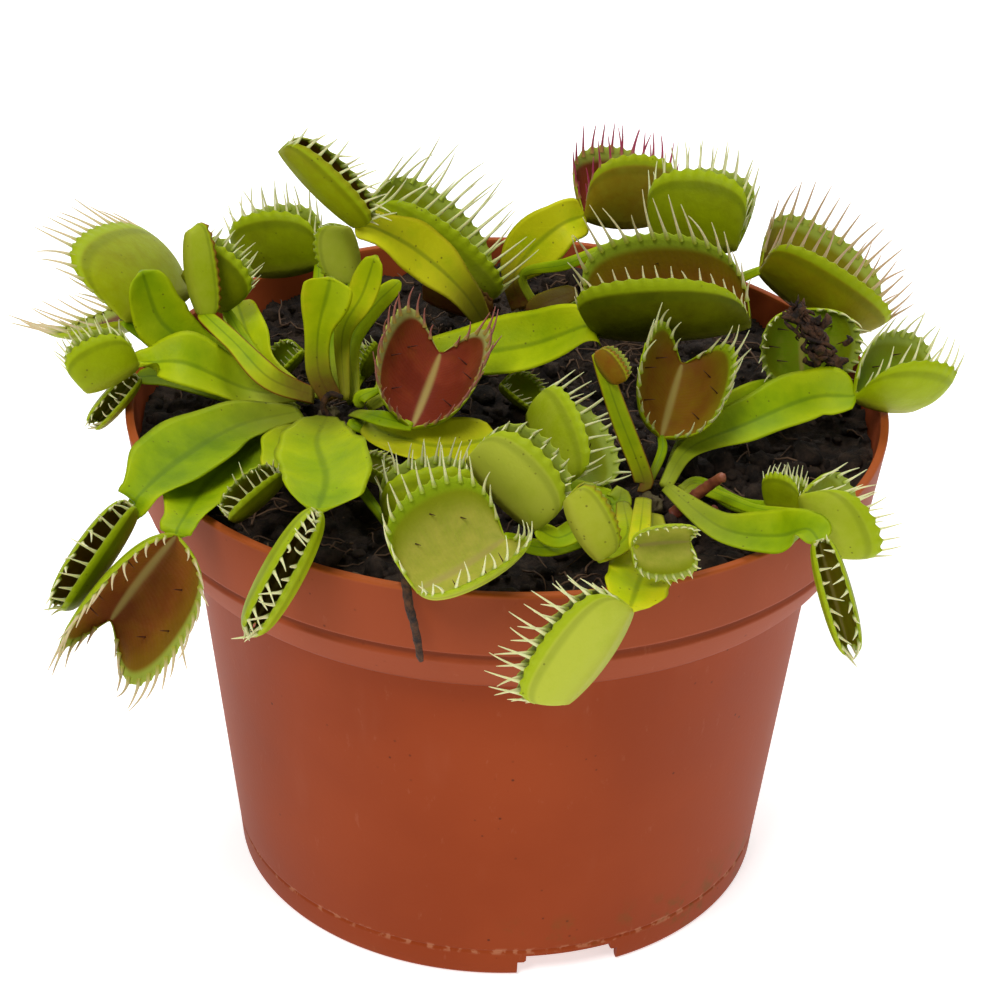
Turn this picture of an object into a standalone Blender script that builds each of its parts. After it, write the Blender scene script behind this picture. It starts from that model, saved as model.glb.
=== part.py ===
"""Potted venus flytrap: a 12 cm terracotta-coloured nursery pot filled with peat, and the plant's leaves.

Units: metres in Blender, millimetres in the named sizes below. The pot's axis is the Z axis and it stands on
z = 0. Each leaf is one solid: a winged stalk that widens to a blade and narrows again to a neck, and after the
neck the trap, two curved lobes on one midrib with a fringe of teeth.
"""
import math
from collections import namedtuple

import bpy
import bmesh
from mathutils import Vector

MM = 0.001

# The pot, a thin moulded shell
RIM_RADIUS = 60.0
RIM_HEIGHT = 80.8
BAND_RADIUS, BAND_BOTTOM = 58.2, 68.3       # foot of the tall rim band
LIP_RADIUS, LIP_BOTTOM = 54.4, 62.2         # foot of the lower band
WALL_RADIUS = 50.0                          # wall just under the lower band
FOOT_RADIUS = 43.3
WALL = 1.4
FLOOR_TOP, FLOOR_BOTTOM = 6.0, 4.6
BOSS_RADIUS = 5.0                           # round boss under the floor's centre, level with the foot
NOTCH_HEIGHT, NOTCH_WIDTH, NOTCH_COUNT = 3.8, 16.5, 3
FIRST_NOTCH_ANGLE = -74.0                   # degrees from +X
DRAIN_RADIUS, DRAIN_CIRCLE, DRAIN_COUNT = 4.0, 26.0, 6
TURN_STEPS = 72

# The peat
SOIL_GAP = 0.3
SOIL_EDGE = 75.5                            # height of the peat at the pot's wall
SOIL_STEPS = 48

# The three crowns that the leaves grow from: place, and height of the peat heaped round each
CROWNS = {"left": (-28.0, -4.0), "right": (21.6, -28.9), "back": (0.9, 31.7)}
HEAP_HEIGHT, HEAP_SPREAD = 1.6, 12.0
CROWN_RADIUS, CROWN_HEIGHT = 1.7, 2.6
CROWN_BASE = 77.6

# The leaves
LEAF_THICKNESS = 0.7
STALK_FOLD = math.radians(18)               # how far the two halves of a blade fold up
STALK_STEP = 7.0                            # spacing of the cross-sections along a stalk
NARROWEST = 0.8
LOBE_CURL = math.radians(40)                # how far a lobe turns in from midrib to margin
LOBE_FULLNESS = 0.72                        # lower makes the lobe's outline squarer
MIDRIB_SAG = 0.06                           # of the trap's length
END_ANGLE = 0.12                            # keeps the two ends of the lobes off the midrib's end points
TOOTH = 0.28                                # tooth length, of the trap's length

# Stubs of old stalks and the twig
STUB_STEPS = 6
STUB_TAPER = 0.35

Trap = namedtuple("Trap", "heading pitch roll length lobe gape heel toe")


def clear_scene():
    for old in list(bpy.data.objects):
        bpy.data.objects.remove(old, do_unlink=True)


def make_collection(name):
    made = bpy.data.collections.new(name)
    bpy.context.scene.collection.children.link(made)
    return made


def material(name, colour, roughness):
    made = bpy.data.materials.new(name)
    made.use_nodes = True
    shader = made.node_tree.nodes["Principled BSDF"]
    shader.inputs["Base Color"].default_value = (*colour, 1)
    shader.inputs["Roughness"].default_value = roughness
    shader.inputs["Metallic"].default_value = 0
    return made


clear_scene()
flytrap = make_collection("potted_venus_flytrap")
helpers = make_collection("cutters_and_joined_shapes")

POT_PLASTIC = material("terracotta_plastic", (0.30, 0.055, 0.018), 0.45)
PEAT = material("peat", (0.020, 0.013, 0.009), 0.95)
LEAF_GREEN = material("leaf_green", (0.33, 0.48, 0.03), 0.45)
LEAF_MAROON = material("leaf_maroon", (0.22, 0.05, 0.02), 0.45)
CROWN_TISSUE = material("crown_tissue", (0.45, 0.40, 0.20), 0.6)
RED_STALK = material("red_stalk", (0.20, 0.05, 0.025), 0.6)
DRY_STALK = material("dry_stalk", (0.10, 0.05, 0.025), 0.85)


def add_object(name, mesh, skin, helper=False):
    made = bpy.data.objects.new(name, mesh)
    (helpers if helper else flytrap).objects.link(made)
    if skin:
        mesh.materials.append(skin)
    if helper:
        made.hide_render = True
        made.display_type = "WIRE"
    return made


def mesh_of(name, points, faces):
    made = bpy.data.meshes.new(name)
    made.from_pydata([Vector(p) * MM for p in points], [], faces)
    made.update()
    return made


def turned(name, outline, skin, steps, helper=False):
    """A solid turned about Z. The outline runs down the outer side and closes on itself or on the axis."""
    closed = outline[0][0] > 0
    count = len(outline)
    edges = [(i, (i + 1) % count) for i in range(count if closed else count - 1)]
    mesh = bpy.data.meshes.new(name)
    mesh.from_pydata([Vector((r, 0, z)) * MM for r, z in outline], edges, [])
    made = add_object(name, mesh, skin, helper)
    screw = made.modifiers.new("turn", "SCREW")
    screw.steps = screw.render_steps = steps
    screw.use_merge_vertices = True
    screw.merge_threshold = 1e-6
    screw.use_smooth_shade = True
    return made


def cut(target, cutter):
    boolean = target.modifiers.new("cut", "BOOLEAN")
    boolean.operation = "DIFFERENCE"
    boolean.solver = "EXACT"
    boolean.object = cutter


def wall_radius(height):
    """Outer radius of the straight wall between the foot and the lower band."""
    return FOOT_RADIUS + (WALL_RADIUS - FOOT_RADIUS) * height / LIP_BOTTOM


def make_pot():
    outer = [(RIM_RADIUS - 0.5, RIM_HEIGHT), (RIM_RADIUS, RIM_HEIGHT - 0.6), (BAND_RADIUS, BAND_BOTTOM),
             (LIP_RADIUS, LIP_BOTTOM), (WALL_RADIUS, LIP_BOTTOM - 0.4), (FOOT_RADIUS, 0)]
    foot = [(FOOT_RADIUS - WALL, 0), (wall_radius(FLOOR_BOTTOM) - WALL, FLOOR_BOTTOM),
            (BOSS_RADIUS, FLOOR_BOTTOM), (BOSS_RADIUS, 0), (0, 0)]
    inner = [(0, FLOOR_TOP), (wall_radius(FLOOR_TOP) - WALL, FLOOR_TOP), (WALL_RADIUS - WALL, LIP_BOTTOM),
             (LIP_RADIUS - WALL, LIP_BOTTOM + 0.8), (BAND_RADIUS - WALL, BAND_BOTTOM + 0.4),
             (RIM_RADIUS - WALL, RIM_HEIGHT)]
    pot = turned("pot", outer + foot + inner, POT_PLASTIC, TURN_STEPS)

    for number in range(NOTCH_COUNT):
        angle = math.radians(FIRST_NOTCH_ANGLE + 360 * number / NOTCH_COUNT)
        bpy.ops.mesh.primitive_cube_add(size=MM)
        notch = bpy.context.active_object
        notch.name = f"notch_cutter_{number + 1}"
        notch.scale = (12, NOTCH_WIDTH, 2 * NOTCH_HEIGHT)
        notch.location = Vector((math.cos(angle), math.sin(angle), 0)) * FOOT_RADIUS * MM
        notch.rotation_euler.z = angle
        move_to_helpers(notch)
        cut(pot, notch)

    for number in range(DRAIN_COUNT):
        angle = math.radians(360 * number / DRAIN_COUNT)
        bpy.ops.mesh.primitive_cylinder_add(vertices=16, radius=DRAIN_RADIUS * MM, depth=10 * MM)
        drain = bpy.context.active_object
        drain.name = f"drain_cutter_{number + 1}"
        place = Vector((math.cos(angle) * DRAIN_CIRCLE, math.sin(angle) * DRAIN_CIRCLE, FLOOR_TOP))
        drain.location = place * MM
        move_to_helpers(drain)
        cut(pot, drain)


def move_to_helpers(made):
    for home in made.users_collection:
        home.objects.unlink(made)
    helpers.objects.link(made)
    made.hide_render = True
    made.display_type = "WIRE"


def soil_height(x, y):
    """Height of the peat: level at the edge, and heaped a little round each crown."""
    rise = max(math.exp(-((x - cx) ** 2 + (y - cy) ** 2) / HEAP_SPREAD ** 2) for cx, cy in CROWNS.values())
    return SOIL_EDGE + HEAP_HEIGHT * rise


def make_soil():
    """A plug that fills the pot, its top grid lifted to the heaped surface."""
    gap = WALL + SOIL_GAP
    sides = [(RIM_RADIUS - gap - 0.7, SOIL_EDGE), (BAND_RADIUS - gap, BAND_BOTTOM + 0.6),
             (LIP_RADIUS - gap, LIP_BOTTOM + 1.2), (WALL_RADIUS - gap, LIP_BOTTOM),
             (wall_radius(FLOOR_TOP) - gap, FLOOR_TOP + SOIL_GAP), (0, FLOOR_TOP + SOIL_GAP)]
    top_radius = sides[0][0]
    rings = 9
    top = [(top_radius * i / rings, SOIL_EDGE) for i in range(rings)]
    turned_plug = turned("soil_blank", top + sides, None, SOIL_STEPS, helper=True)
    depsgraph = bpy.context.evaluated_depsgraph_get()
    mesh = bpy.data.meshes.new_from_object(turned_plug.evaluated_get(depsgraph))
    bpy.data.objects.remove(turned_plug, do_unlink=True)
    work = bmesh.new()
    work.from_mesh(mesh)
    bmesh.ops.remove_doubles(work, verts=work.verts, dist=1e-5)
    for vertex in work.verts:
        x, y, z = vertex.co / MM
        if z > SOIL_EDGE - 0.01 and math.hypot(x, y) < top_radius - 0.01:
            vertex.co.z = soil_height(x, y) * MM
    work.to_mesh(mesh)
    work.free()
    mesh.name = "soil"
    add_object("soil", mesh, PEAT)


def make_crowns():
    """The short rhizomes, showing as small domes in the middle of each rosette."""
    steps = 5
    for name, (x, y) in CROWNS.items():
        dome = [(CROWN_RADIUS * math.sin(math.pi / 2 * i / steps),
                 CROWN_BASE + CROWN_HEIGHT * math.cos(math.pi / 2 * i / steps))
                for i in range(steps + 1)]
        crown = turned(f"crown_{name}", dome + [(0, CROWN_BASE)], CROWN_TISSUE, 12)
        crown.location = Vector((x, y, 0)) * MM


def smooth_point(points, at):
    """The point at 0..1 along a Catmull-Rom curve through the given points."""
    points = [Vector(p) for p in points]
    points = [2 * points[0] - points[1]] + points + [2 * points[-1] - points[-2]]
    spans = len(points) - 3
    span = min(int(at * spans), spans - 1)
    t = at * spans - span
    a, b, c, d = points[span:span + 4]
    square, cube = 2 * a - 5 * b + 4 * c - d, 3 * b - a - 3 * c + d
    return 0.5 * (2 * b + (c - a) * t + square * t ** 2 + cube * t ** 3)


def trap_axes(trap):
    """Unit vectors along the midrib, to the left lobe, and out of the mouth. Heading 0 is +Y, 90 is +X."""
    heading, pitch, roll = (math.radians(a) for a in (trap.heading, trap.pitch, trap.roll))
    level = math.cos(pitch)
    along = Vector((level * math.sin(heading), level * math.cos(heading), math.sin(pitch)))
    side = along.cross(Vector((0, 0, 1))).normalized()
    mouth = math.cos(roll) * side.cross(along) + math.sin(roll) * side
    return along, mouth.cross(along), mouth


def lobe_point(trap, angle, out, side):
    """A point of a lobe in the trap's axes: angle runs 0..pi round it, out runs 0..1 from midrib to margin."""
    half_gape = math.radians(trap.gape / 2)
    at = (1 - math.cos(angle)) / 2
    start = half_gape + LOBE_CURL / 2
    turn = start - LOBE_CURL * out
    depth = trap.lobe * math.sin(angle) ** LOBE_FULLNESS
    along = trap.length * (at + math.sin(angle) * (trap.toe * at - trap.heel * (1 - at)) * out)
    across = depth * (math.cos(turn) - math.cos(start)) / LOBE_CURL
    up = depth * (math.sin(start) - math.sin(turn)) / LOBE_CURL - MIDRIB_SAG * trap.length * 4 * at * (1 - at)
    return Vector((along, side * across, up))


def stalk_rows(stalk, widths, face):
    """Cross-sections of the stalk and blade, five points each from left margin to right margin."""
    reach = sum((Vector(b) - Vector(a)).length for a, b in zip(stalk, stalk[1:]))
    steps = max(2, round(reach / STALK_STEP))
    rows = []
    for step in range(steps + 1):
        at = step / steps
        centre = smooth_point(stalk, at)
        ahead = (smooth_point(stalk, min(at + 0.05, 1)) - smooth_point(stalk, max(at - 0.05, 0))).normalized()
        upper = Vector(face)
        upper = (upper - ahead * upper.dot(ahead)).normalized()
        left = upper.cross(ahead)
        half = max(smooth_point([(width, 0, 0) for width in widths], at).x, NARROWEST) / 2
        out = left * half * math.cos(STALK_FOLD)
        lift = upper * half * math.sin(STALK_FOLD)
        rows.append([centre + out + lift, centre + 0.5 * out + 0.4 * lift, centre,
                     centre - 0.5 * out + 0.4 * lift, centre - out + lift])
    return rows


def trap_rows(joint, trap, steps):
    """Cross-sections of the two lobes, five points each from left margin to right margin."""
    along, left, mouth = trap_axes(trap)
    columns = ((1, 1), (1, 0.5), (1, 0), (-1, 0.5), (-1, 1))      # (side, out from the midrib)
    rows = []
    for step in range(steps + 1):
        angle = END_ANGLE + (math.pi - 2 * END_ANGLE) * step / steps
        places = [lobe_point(trap, angle, out, side) for side, out in columns]
        rows.append([joint + along * place.x + left * place.y + mouth * place.z for place in places])
    return rows


def leaf(name, stalk, widths, face, trap=None, skin=None):
    """One leaf as a folded sheet, thickened towards its underside.

    The stalk's points run from the crown to the neck, and widths are the blade's widths at those points. The
    face is the direction its upper side looks in.
    """
    rows = stalk_rows(stalk, widths, face)
    lobe_steps = 0
    if trap:
        lobe_steps = 8 if trap.length > 9 else 6
        rows += trap_rows(Vector(stalk[-1]), trap, lobe_steps)
    points = [point for row in rows for point in row]
    faces = []
    for row in range(len(rows) - 1):
        for column in range(4):
            corner = row * 5 + column
            faces.append((corner, corner + 1, corner + 6, corner + 5))
    for step in range(1, lobe_steps, 2):
        row = len(rows) - 1 - lobe_steps + step
        angle = END_ANGLE + (math.pi - 2 * END_ANGLE) * (step + 0.5) / lobe_steps
        for margin, inner in ((0, 1), (4, 3)):
            here, ahead = row * 5 + margin, row * 5 + 5 + margin
            root = (points[here] + points[ahead]) / 2
            inside = (rows[row][inner] + rows[row + 1][inner]) / 2
            lean = ((root - inside).normalized() + 0.5 * trap_axes(trap)[2]).normalized()
            points.append(root + lean * trap.length * TOOTH * math.sqrt(math.sin(angle)))
            tip = len(points) - 1
            faces.append((here, ahead, tip) if margin == 0 else (ahead, here, tip))
    made = add_object(name, mesh_of(name, points, faces), skin or LEAF_GREEN)
    shell = made.modifiers.new("thickness", "SOLIDIFY")
    shell.thickness = LEAF_THICKNESS * MM
    shell.offset = -1
    shell.use_even_offset = False


def stub(name, route, radius, skin):
    """A round stub or twig along a few points, thinner towards its end."""
    curve = bpy.data.curves.new(name, "CURVE")
    curve.dimensions = "3D"
    curve.bevel_depth = radius * MM
    curve.bevel_resolution = 1
    curve.use_fill_caps = True
    spline = curve.splines.new("POLY")
    places = [smooth_point(route, step / STUB_STEPS) for step in range(STUB_STEPS + 1)]
    spline.points.add(STUB_STEPS)
    for number, place in enumerate(places):
        spline.points[number].co = (*(place * MM), 1)
        spline.points[number].radius = 1 - STUB_TAPER * number / STUB_STEPS
    made = bpy.data.objects.new(name, curve)
    curve.materials.append(skin)
    flytrap.objects.link(made)


make_pot()
make_soil()
make_crowns()

# The left rosette
leaf("leaf_far_left_upper",
     stalk=[(-33, -2, 78.5), (-45, 5, 80.5), (-55, 8.5, 83.5), (-61, 5, 90)],
     widths=(1.5, 4.5, 3.5, 1.5), face=(0, -0.5, 0.8),
     trap=Trap(heading=22, pitch=-12, roll=-79, length=22, lobe=17,
               gape=60, heel=0.4, toe=0.39))
leaf("leaf_far_left_blade",
     stalk=[(-32, -1, 81.5), (-46.5, 4, 85), (-54.5, 4, 90), (-57.5, 4, 99)],
     widths=(1.5, 4.5, 9.5, 3.5), face=(0.35, -0.85, 0.45))
leaf("leaf_left_wide",
     stalk=[(-33, -3, 81.5), (-41, -2, 82), (-50, -4.5, 87.5), (-55.5, -4.5, 87.5), (-57, -9.5, 90)],
     widths=(2.5, 7.5, 10.5, 5, 1.5), face=(0, -0.5, 0.85),
     trap=Trap(heading=-105, pitch=-24, roll=11, length=9, lobe=8,
               gape=28, heel=0.19, toe=0.32))
leaf("leaf_left_pointed",
     stalk=[(-34.5, -4, 78), (-42, -2, 80.5), (-53, -2, 83.5), (-58, -3, 84)],
     widths=(2, 4.5, 4, 1.2), face=(0, -0.4, 0.9),
     trap=Trap(heading=-118, pitch=-43, roll=-52, length=9, lobe=7,
               gape=18, heel=0.25, toe=0.37))
leaf("leaf_left_narrow",
     stalk=[(-30.5, -2, 81), (-37, -6, 86), (-43, 0, 89), (-48.5, 6, 91)],
     widths=(3, 4.5, 3.5, 2), face=(0.3, -0.6, 0.7),
     trap=Trap(heading=-26, pitch=70, roll=82, length=13, lobe=4,
               gape=12, heel=0.19, toe=0.34))
leaf("leaf_left_dark",
     stalk=[(-34, 1.5, 80), (-39.5, 5.5, 82.5), (-45.5, 13.5, 88)],
     widths=(1.5, 2.5, 1.5), face=(0, -0.5, 0.8),
     trap=Trap(heading=-83, pitch=43, roll=10, length=9, lobe=9,
               gape=26, heel=0.25, toe=0.44))
leaf("leaf_left_ragged",
     stalk=[(-31, 0.5, 79), (-39.5, 7, 81), (-42, 12, 84.5), (-44.5, 21.5, 85.5)],
     widths=(2, 6, 7, 3.5), face=(0, -0.8, 0.6))
leaf("leaf_left_shaded",
     stalk=[(-30, 3, 78.5), (-35.5, 4.5, 79), (-37.5, 13, 76.5)],
     widths=(1.2, 1.5, 1.2), face=(0, -0.5, 0.8),
     trap=Trap(heading=82, pitch=48, roll=41, length=6, lobe=5,
               gape=45, heel=0.19, toe=0.34))
leaf("leaf_back_left",
     stalk=[(-28, 2, 79), (-31, 14, 82), (-31.5, 28, 90)],
     widths=(1.5, 2.5, 1.5), face=(0, -0.5, 0.8),
     trap=Trap(heading=-75, pitch=-15, roll=12, length=13, lobe=11,
               gape=32, heel=0.27, toe=0.33))
leaf("leaf_centre_left_pale",
     stalk=[(-27.5, 0, 80), (-28.5, 10, 86.5), (-25, 16, 92.5)],
     widths=(2, 2.5, 1.2), face=(0, -0.9, 0.4),
     trap=Trap(heading=-55, pitch=79, roll=-159, length=9, lobe=6,
               gape=15, heel=0.07, toe=0.29))
leaf("leaf_upright_broad",
     stalk=[(-27.5, -3, 81), (-29.5, -4, 86.5), (-29.5, -4, 93.5), (-28, -5, 100.5), (-27.5, -5, 103)],
     widths=(3.5, 4, 4.5, 8.5, 3.5), face=(0, -1, 0.3))
leaf("leaf_upright_curling",
     stalk=[(-25.5, -2, 80.5), (-26, 1, 90.5), (-23, 2, 97), (-21, 2, 103.5)],
     widths=(1.5, 3, 5, 2), face=(-0.2, -0.9, 0.4))
leaf("leaf_upright_narrow",
     stalk=[(-24, 0, 79), (-25, 6, 86.5), (-21.5, 8, 92), (-17.5, 9, 96)],
     widths=(1.5, 3.5, 3.5, 1.5), face=(-0.2, -0.9, 0.4))
leaf("leaf_centre_shaded",
     stalk=[(-25, 1.5, 78.5), (-24.5, 6, 78.5), (-23.5, 10, 78.5)],
     widths=(1.2, 1.5, 1.2), face=(0, -0.5, 0.8),
     trap=Trap(heading=26, pitch=21, roll=-25, length=5, lobe=4,
               gape=57, heel=0.22, toe=0.28))
leaf("leaf_small_right",
     stalk=[(-23, -2.5, 79.5), (-23, -3, 81.5), (-20, -2, 82.5)],
     widths=(1.2, 2.5, 1.5), face=(0, -0.5, 0.8))
leaf("leaf_centre_largest",
     stalk=[(-22, -1, 78.5), (-17, 2, 82), (-9.5, 6, 84), (3.5, 4, 88), (12, 1, 93), (14, 2.5, 91)],
     widths=(1.5, 6, 9, 11, 7, 2), face=(0, -0.6, 0.8),
     trap=Trap(heading=101, pitch=11, roll=14, length=24, lobe=17,
               gape=38, heel=0.25, toe=0.05))
leaf("leaf_centre_maroon",
     stalk=[(-24, -3.5, 79), (-20, -14, 84), (-14.5, -15, 83)],
     widths=(2.5, 3, 1.5), face=(0, -0.5, 0.8),
     trap=Trap(heading=16, pitch=23, roll=12, length=15, lobe=12,
               gape=84, heel=0.23, toe=0.51),
     skin=LEAF_MAROON)
leaf("leaf_small_low",
     stalk=[(-21.5, -5, 78), (-24, -8, 79.5), (-21, -8.5, 78)],
     widths=(1.5, 2, 1.5), face=(0, -0.5, 0.8))
leaf("leaf_centre_flat",
     stalk=[(-21.5, -8, 80), (-19, -10.5, 79.5), (-10, -15.5, 80), (-1.5, -14, 81)],
     widths=(2.5, 7.5, 9, 3.5), face=(0, -0.45, 0.9))
leaf("leaf_tiny_pale",
     stalk=[(-22.5, -9.5, 78), (-22, -14.5, 77.5), (-18, -26, 79.5)],
     widths=(1.2, 1.5, 1.2), face=(0, -0.5, 0.8),
     trap=Trap(heading=-101, pitch=38, roll=-34, length=5, lobe=4,
               gape=46, heel=0.17, toe=0.35))
leaf("leaf_front_hidden",
     stalk=[(-24, -9, 78.5), (-23.5, -22.5, 79.5), (-17.5, -36, 78)],
     widths=(1.2, 2, 1.2), face=(0, -0.5, 0.8),
     trap=Trap(heading=81, pitch=1, roll=-12, length=12, lobe=10,
               gape=29, heel=0.24, toe=0.45))
leaf("leaf_front_left_spoon",
     stalk=[(-28, -8, 80.5), (-28.5, -24, 85), (-26, -41, 88.5), (-26.5, -51.5, 89)],
     widths=(3.5, 11, 14, 1.5), face=(0, -0.55, 0.8),
     trap=Trap(heading=-128, pitch=-54, roll=-46, length=18, lobe=14,
               gape=10, heel=0.08, toe=0.22))
leaf("leaf_front_left_yellow",
     stalk=[(-31, -8.5, 79.5), (-33.5, -17, 81), (-34, -24, 82), (-33, -36, 85)],
     widths=(2, 7, 6, 1.2), face=(0, -0.5, 0.85),
     trap=Trap(heading=-123, pitch=-30, roll=-25, length=9, lobe=7,
               gape=22, heel=0.15, toe=0.3))
leaf("leaf_front_left_lower",
     stalk=[(-33, -6.5, 78.5), (-38, -13, 79), (-44, -28, 80.5), (-46.5, -46.5, 83.5), (-47, -49.5, 83)],
     widths=(3, 9, 13.5, 5.5, 1.2), face=(0, -0.5, 0.85),
     trap=Trap(heading=-94, pitch=-55, roll=-92, length=17, lobe=13,
               gape=70, heel=0.13, toe=0.6))
leaf("leaf_front_left_upper",
     stalk=[(-32.5, -5.5, 80), (-41, -14, 82), (-48.5, -30, 84.5), (-53, -41.5, 85), (-54, -41, 82)],
     widths=(3, 8.5, 13.5, 6, 1.2), face=(0, -0.5, 0.85),
     trap=Trap(heading=-131, pitch=-45, roll=-34, length=16, lobe=12,
               gape=12, heel=0.19, toe=0.31))

# The right rosette, nearest the front
leaf("leaf_far_right",
     stalk=[(24, -26, 80), (28, -17, 81.5), (37, -12, 83.5), (47, -6, 85), (54, -6, 85.5)],
     widths=(2, 3.5, 8, 9.5, 2), face=(0, -0.5, 0.85),
     trap=Trap(heading=61, pitch=-21, roll=6, length=13, lobe=12,
               gape=46, heel=0.11, toe=0.33))
leaf("leaf_right_middle",
     stalk=[(24, -23.5, 79), (28, -12, 81), (36.5, -3, 81.5), (44, 4, 81.5), (47, 8, 81.5)],
     widths=(1.5, 2.5, 6.5, 4.5, 1.5), face=(0, -0.5, 0.85),
     trap=Trap(heading=-11, pitch=79, roll=-1, length=11, lobe=10,
               gape=107, heel=0.05, toe=0.2))
leaf("leaf_right_brown",
     stalk=[(21.5, -24, 79), (23.5, -21, 83), (23.5, -18, 84)],
     widths=(1.2, 1.5, 1.2), face=(0, -0.5, 0.8),
     trap=Trap(heading=15, pitch=26, roll=19, length=14, lobe=12,
               gape=72, heel=0.33, toe=0.47))
leaf("leaf_upright_bud",
     stalk=[(20, -27, 81), (20.5, -27, 82), (16.5, -27, 92.5), (13, -26, 102)],
     widths=(3, 3, 3, 2), face=(0.1, -1, 0.2),
     trap=Trap(heading=116, pitch=-49, roll=-15, length=5, lobe=3,
               gape=30, heel=0.15, toe=0.31))
leaf("leaf_right_small",
     stalk=[(26.5, -25, 79), (29.5, -22, 78.5), (35.5, -28, 78), (43.5, -33, 81)],
     widths=(1.5, 2, 3, 1.2), face=(0, -0.5, 0.85),
     trap=Trap(heading=-47, pitch=-16, roll=25, length=6, lobe=5,
               gape=42, heel=0.19, toe=0.3))
leaf("leaf_right_low",
     stalk=[(27, -27, 79), (29.5, -25, 79), (36.5, -33, 80.5), (43, -40, 83), (47, -44.5, 80)],
     widths=(1.5, 2, 2, 2.5, 1.2), face=(0, -0.5, 0.85),
     trap=Trap(heading=-78, pitch=65, roll=22, length=10, lobe=10,
               gape=73, heel=0.46, toe=0.16))
leaf("leaf_right_hanging",
     stalk=[(24, -30, 82), (31.5, -41.5, 82), (39, -46, 83.5), (43, -49, 86.5), (44.5, -52.5, 86.5)],
     widths=(2, 5.5, 8, 6, 1.2), face=(0, -0.5, 0.85),
     trap=Trap(heading=138, pitch=-63, roll=38, length=15, lobe=8,
               gape=22, heel=0.25, toe=0.24))
leaf("leaf_front_hanging",
     stalk=[(22, -33, 79), (20.5, -48, 80.5), (18.5, -61, 83), (17.5, -66, 83)],
     widths=(3, 8.5, 9.5, 1.5), face=(0, -0.6, 0.8),
     trap=Trap(heading=-102, pitch=-59, roll=-2, length=17, lobe=10,
               gape=9, heel=0.22, toe=0.35))
leaf("leaf_front_pale",
     stalk=[(20.5, -32, 81), (19, -52.5, 87), (18, -57.5, 88)],
     widths=(2.5, 3, 1.2), face=(0, -0.5, 0.85),
     trap=Trap(heading=78, pitch=0, roll=78, length=8, lobe=6,
               gape=79, heel=0.2, toe=0.29))
leaf("leaf_front_folded",
     stalk=[(17.5, -31.5, 80), (17.5, -47, 83.5), (13.5, -57.5, 86)],
     widths=(2, 4, 1.5), face=(0, -0.5, 0.85),
     trap=Trap(heading=-80, pitch=61, roll=23, length=10, lobe=5,
               gape=12, heel=0.1, toe=0.34))
leaf("leaf_centre_smooth",
     stalk=[(15, -30, 79.5), (12.5, -43, 84), (8, -46.5, 82.5), (4.5, -46.5, 84)],
     widths=(1.5, 3.5, 3.5, 1.5), face=(0, -0.5, 0.85),
     trap=Trap(heading=-68, pitch=41, roll=9, length=14, lobe=11,
               gape=20, heel=0.12, toe=0.19))
leaf("leaf_front_centre",
     stalk=[(15, -32, 78.5), (12.5, -38, 78.5), (6, -47, 81), (0, -53, 86)],
     widths=(1.5, 3.5, 3.5, 1.5), face=(0, -0.5, 0.85),
     trap=Trap(heading=-124, pitch=-15, roll=-15, length=15, lobe=13,
               gape=89, heel=0.24, toe=0.25))
leaf("leaf_centre_green",
     stalk=[(17.5, -28, 80.5), (16, -29.5, 78.5), (8.5, -28, 80.5)],
     widths=(2, 5, 1.5), face=(0, -0.5, 0.85),
     trap=Trap(heading=-24, pitch=28, roll=49, length=14, lobe=11,
               gape=64, heel=0.37, toe=0.14))
leaf("leaf_seedling",
     stalk=[(16, -25.5, 78), (10, -11, 81), (3.5, 5, 76.5)],
     widths=(1.2, 1.2, 1.2), face=(0, -0.5, 0.85),
     trap=Trap(heading=-99, pitch=42, roll=-44, length=6, lobe=5,
               gape=55, heel=0.21, toe=0.32))

# The back rosette
leaf("leaf_back_red",
     stalk=[(2, 34, 79.5), (0.5, 32, 86), (3, 32, 91), (8, 32, 96), (12, 35, 96.5)],
     widths=(3.5, 4, 9.5, 8, 1.2), face=(-0.1, -0.9, 0.4),
     trap=Trap(heading=62, pitch=-14, roll=-13, length=14, lobe=13,
               gape=45, heel=0.36, toe=0.3))
leaf("leaf_back_green",
     stalk=[(6, 31, 79), (2, 29, 88), (9, 25.5, 92), (16, 26, 95), (23, 24, 98)],
     widths=(1.5, 1.5, 2, 1.5, 1.2), face=(0, -0.9, 0.4),
     trap=Trap(heading=110, pitch=4, roll=-20, length=14, lobe=13,
               gape=33, heel=0.27, toe=0.4))
leaf("leaf_back_right",
     stalk=[(6, 32, 78.5), (15, 30, 83.5), (31.5, 28, 86.5), (40.5, 22, 93.5)],
     widths=(1.5, 2.5, 2.5, 1.5), face=(0, -0.6, 0.8),
     trap=Trap(heading=85, pitch=-35, roll=2, length=20, lobe=13,
               gape=63, heel=0.39, toe=0.29))
leaf("leaf_back_maroon_blade",
     stalk=[(3.5, 29.5, 79.5), (5, 28, 83), (11, 28, 86)],
     widths=(1.5, 4, 3.5), face=(0, -0.8, 0.6),
     skin=LEAF_MAROON)
leaf("leaf_back_open",
     stalk=[(-4, 32, 79.5), (-5.5, 33, 80.5)],
     widths=(2, 1.5), face=(0, -0.6, 0.8),
     trap=Trap(heading=-99, pitch=44, roll=2, length=26, lobe=13,
               gape=72, heel=0.07, toe=0.05))
leaf("leaf_back_maroon_bud",
     stalk=[(-3, 30.5, 79), (-3.5, 26, 82)],
     widths=(3.5, 3), face=(0, -0.6, 0.8),
     trap=Trap(heading=-89, pitch=17, roll=-11, length=11, lobe=5,
               gape=12, heel=0.12, toe=0.33),
     skin=LEAF_MAROON)
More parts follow.
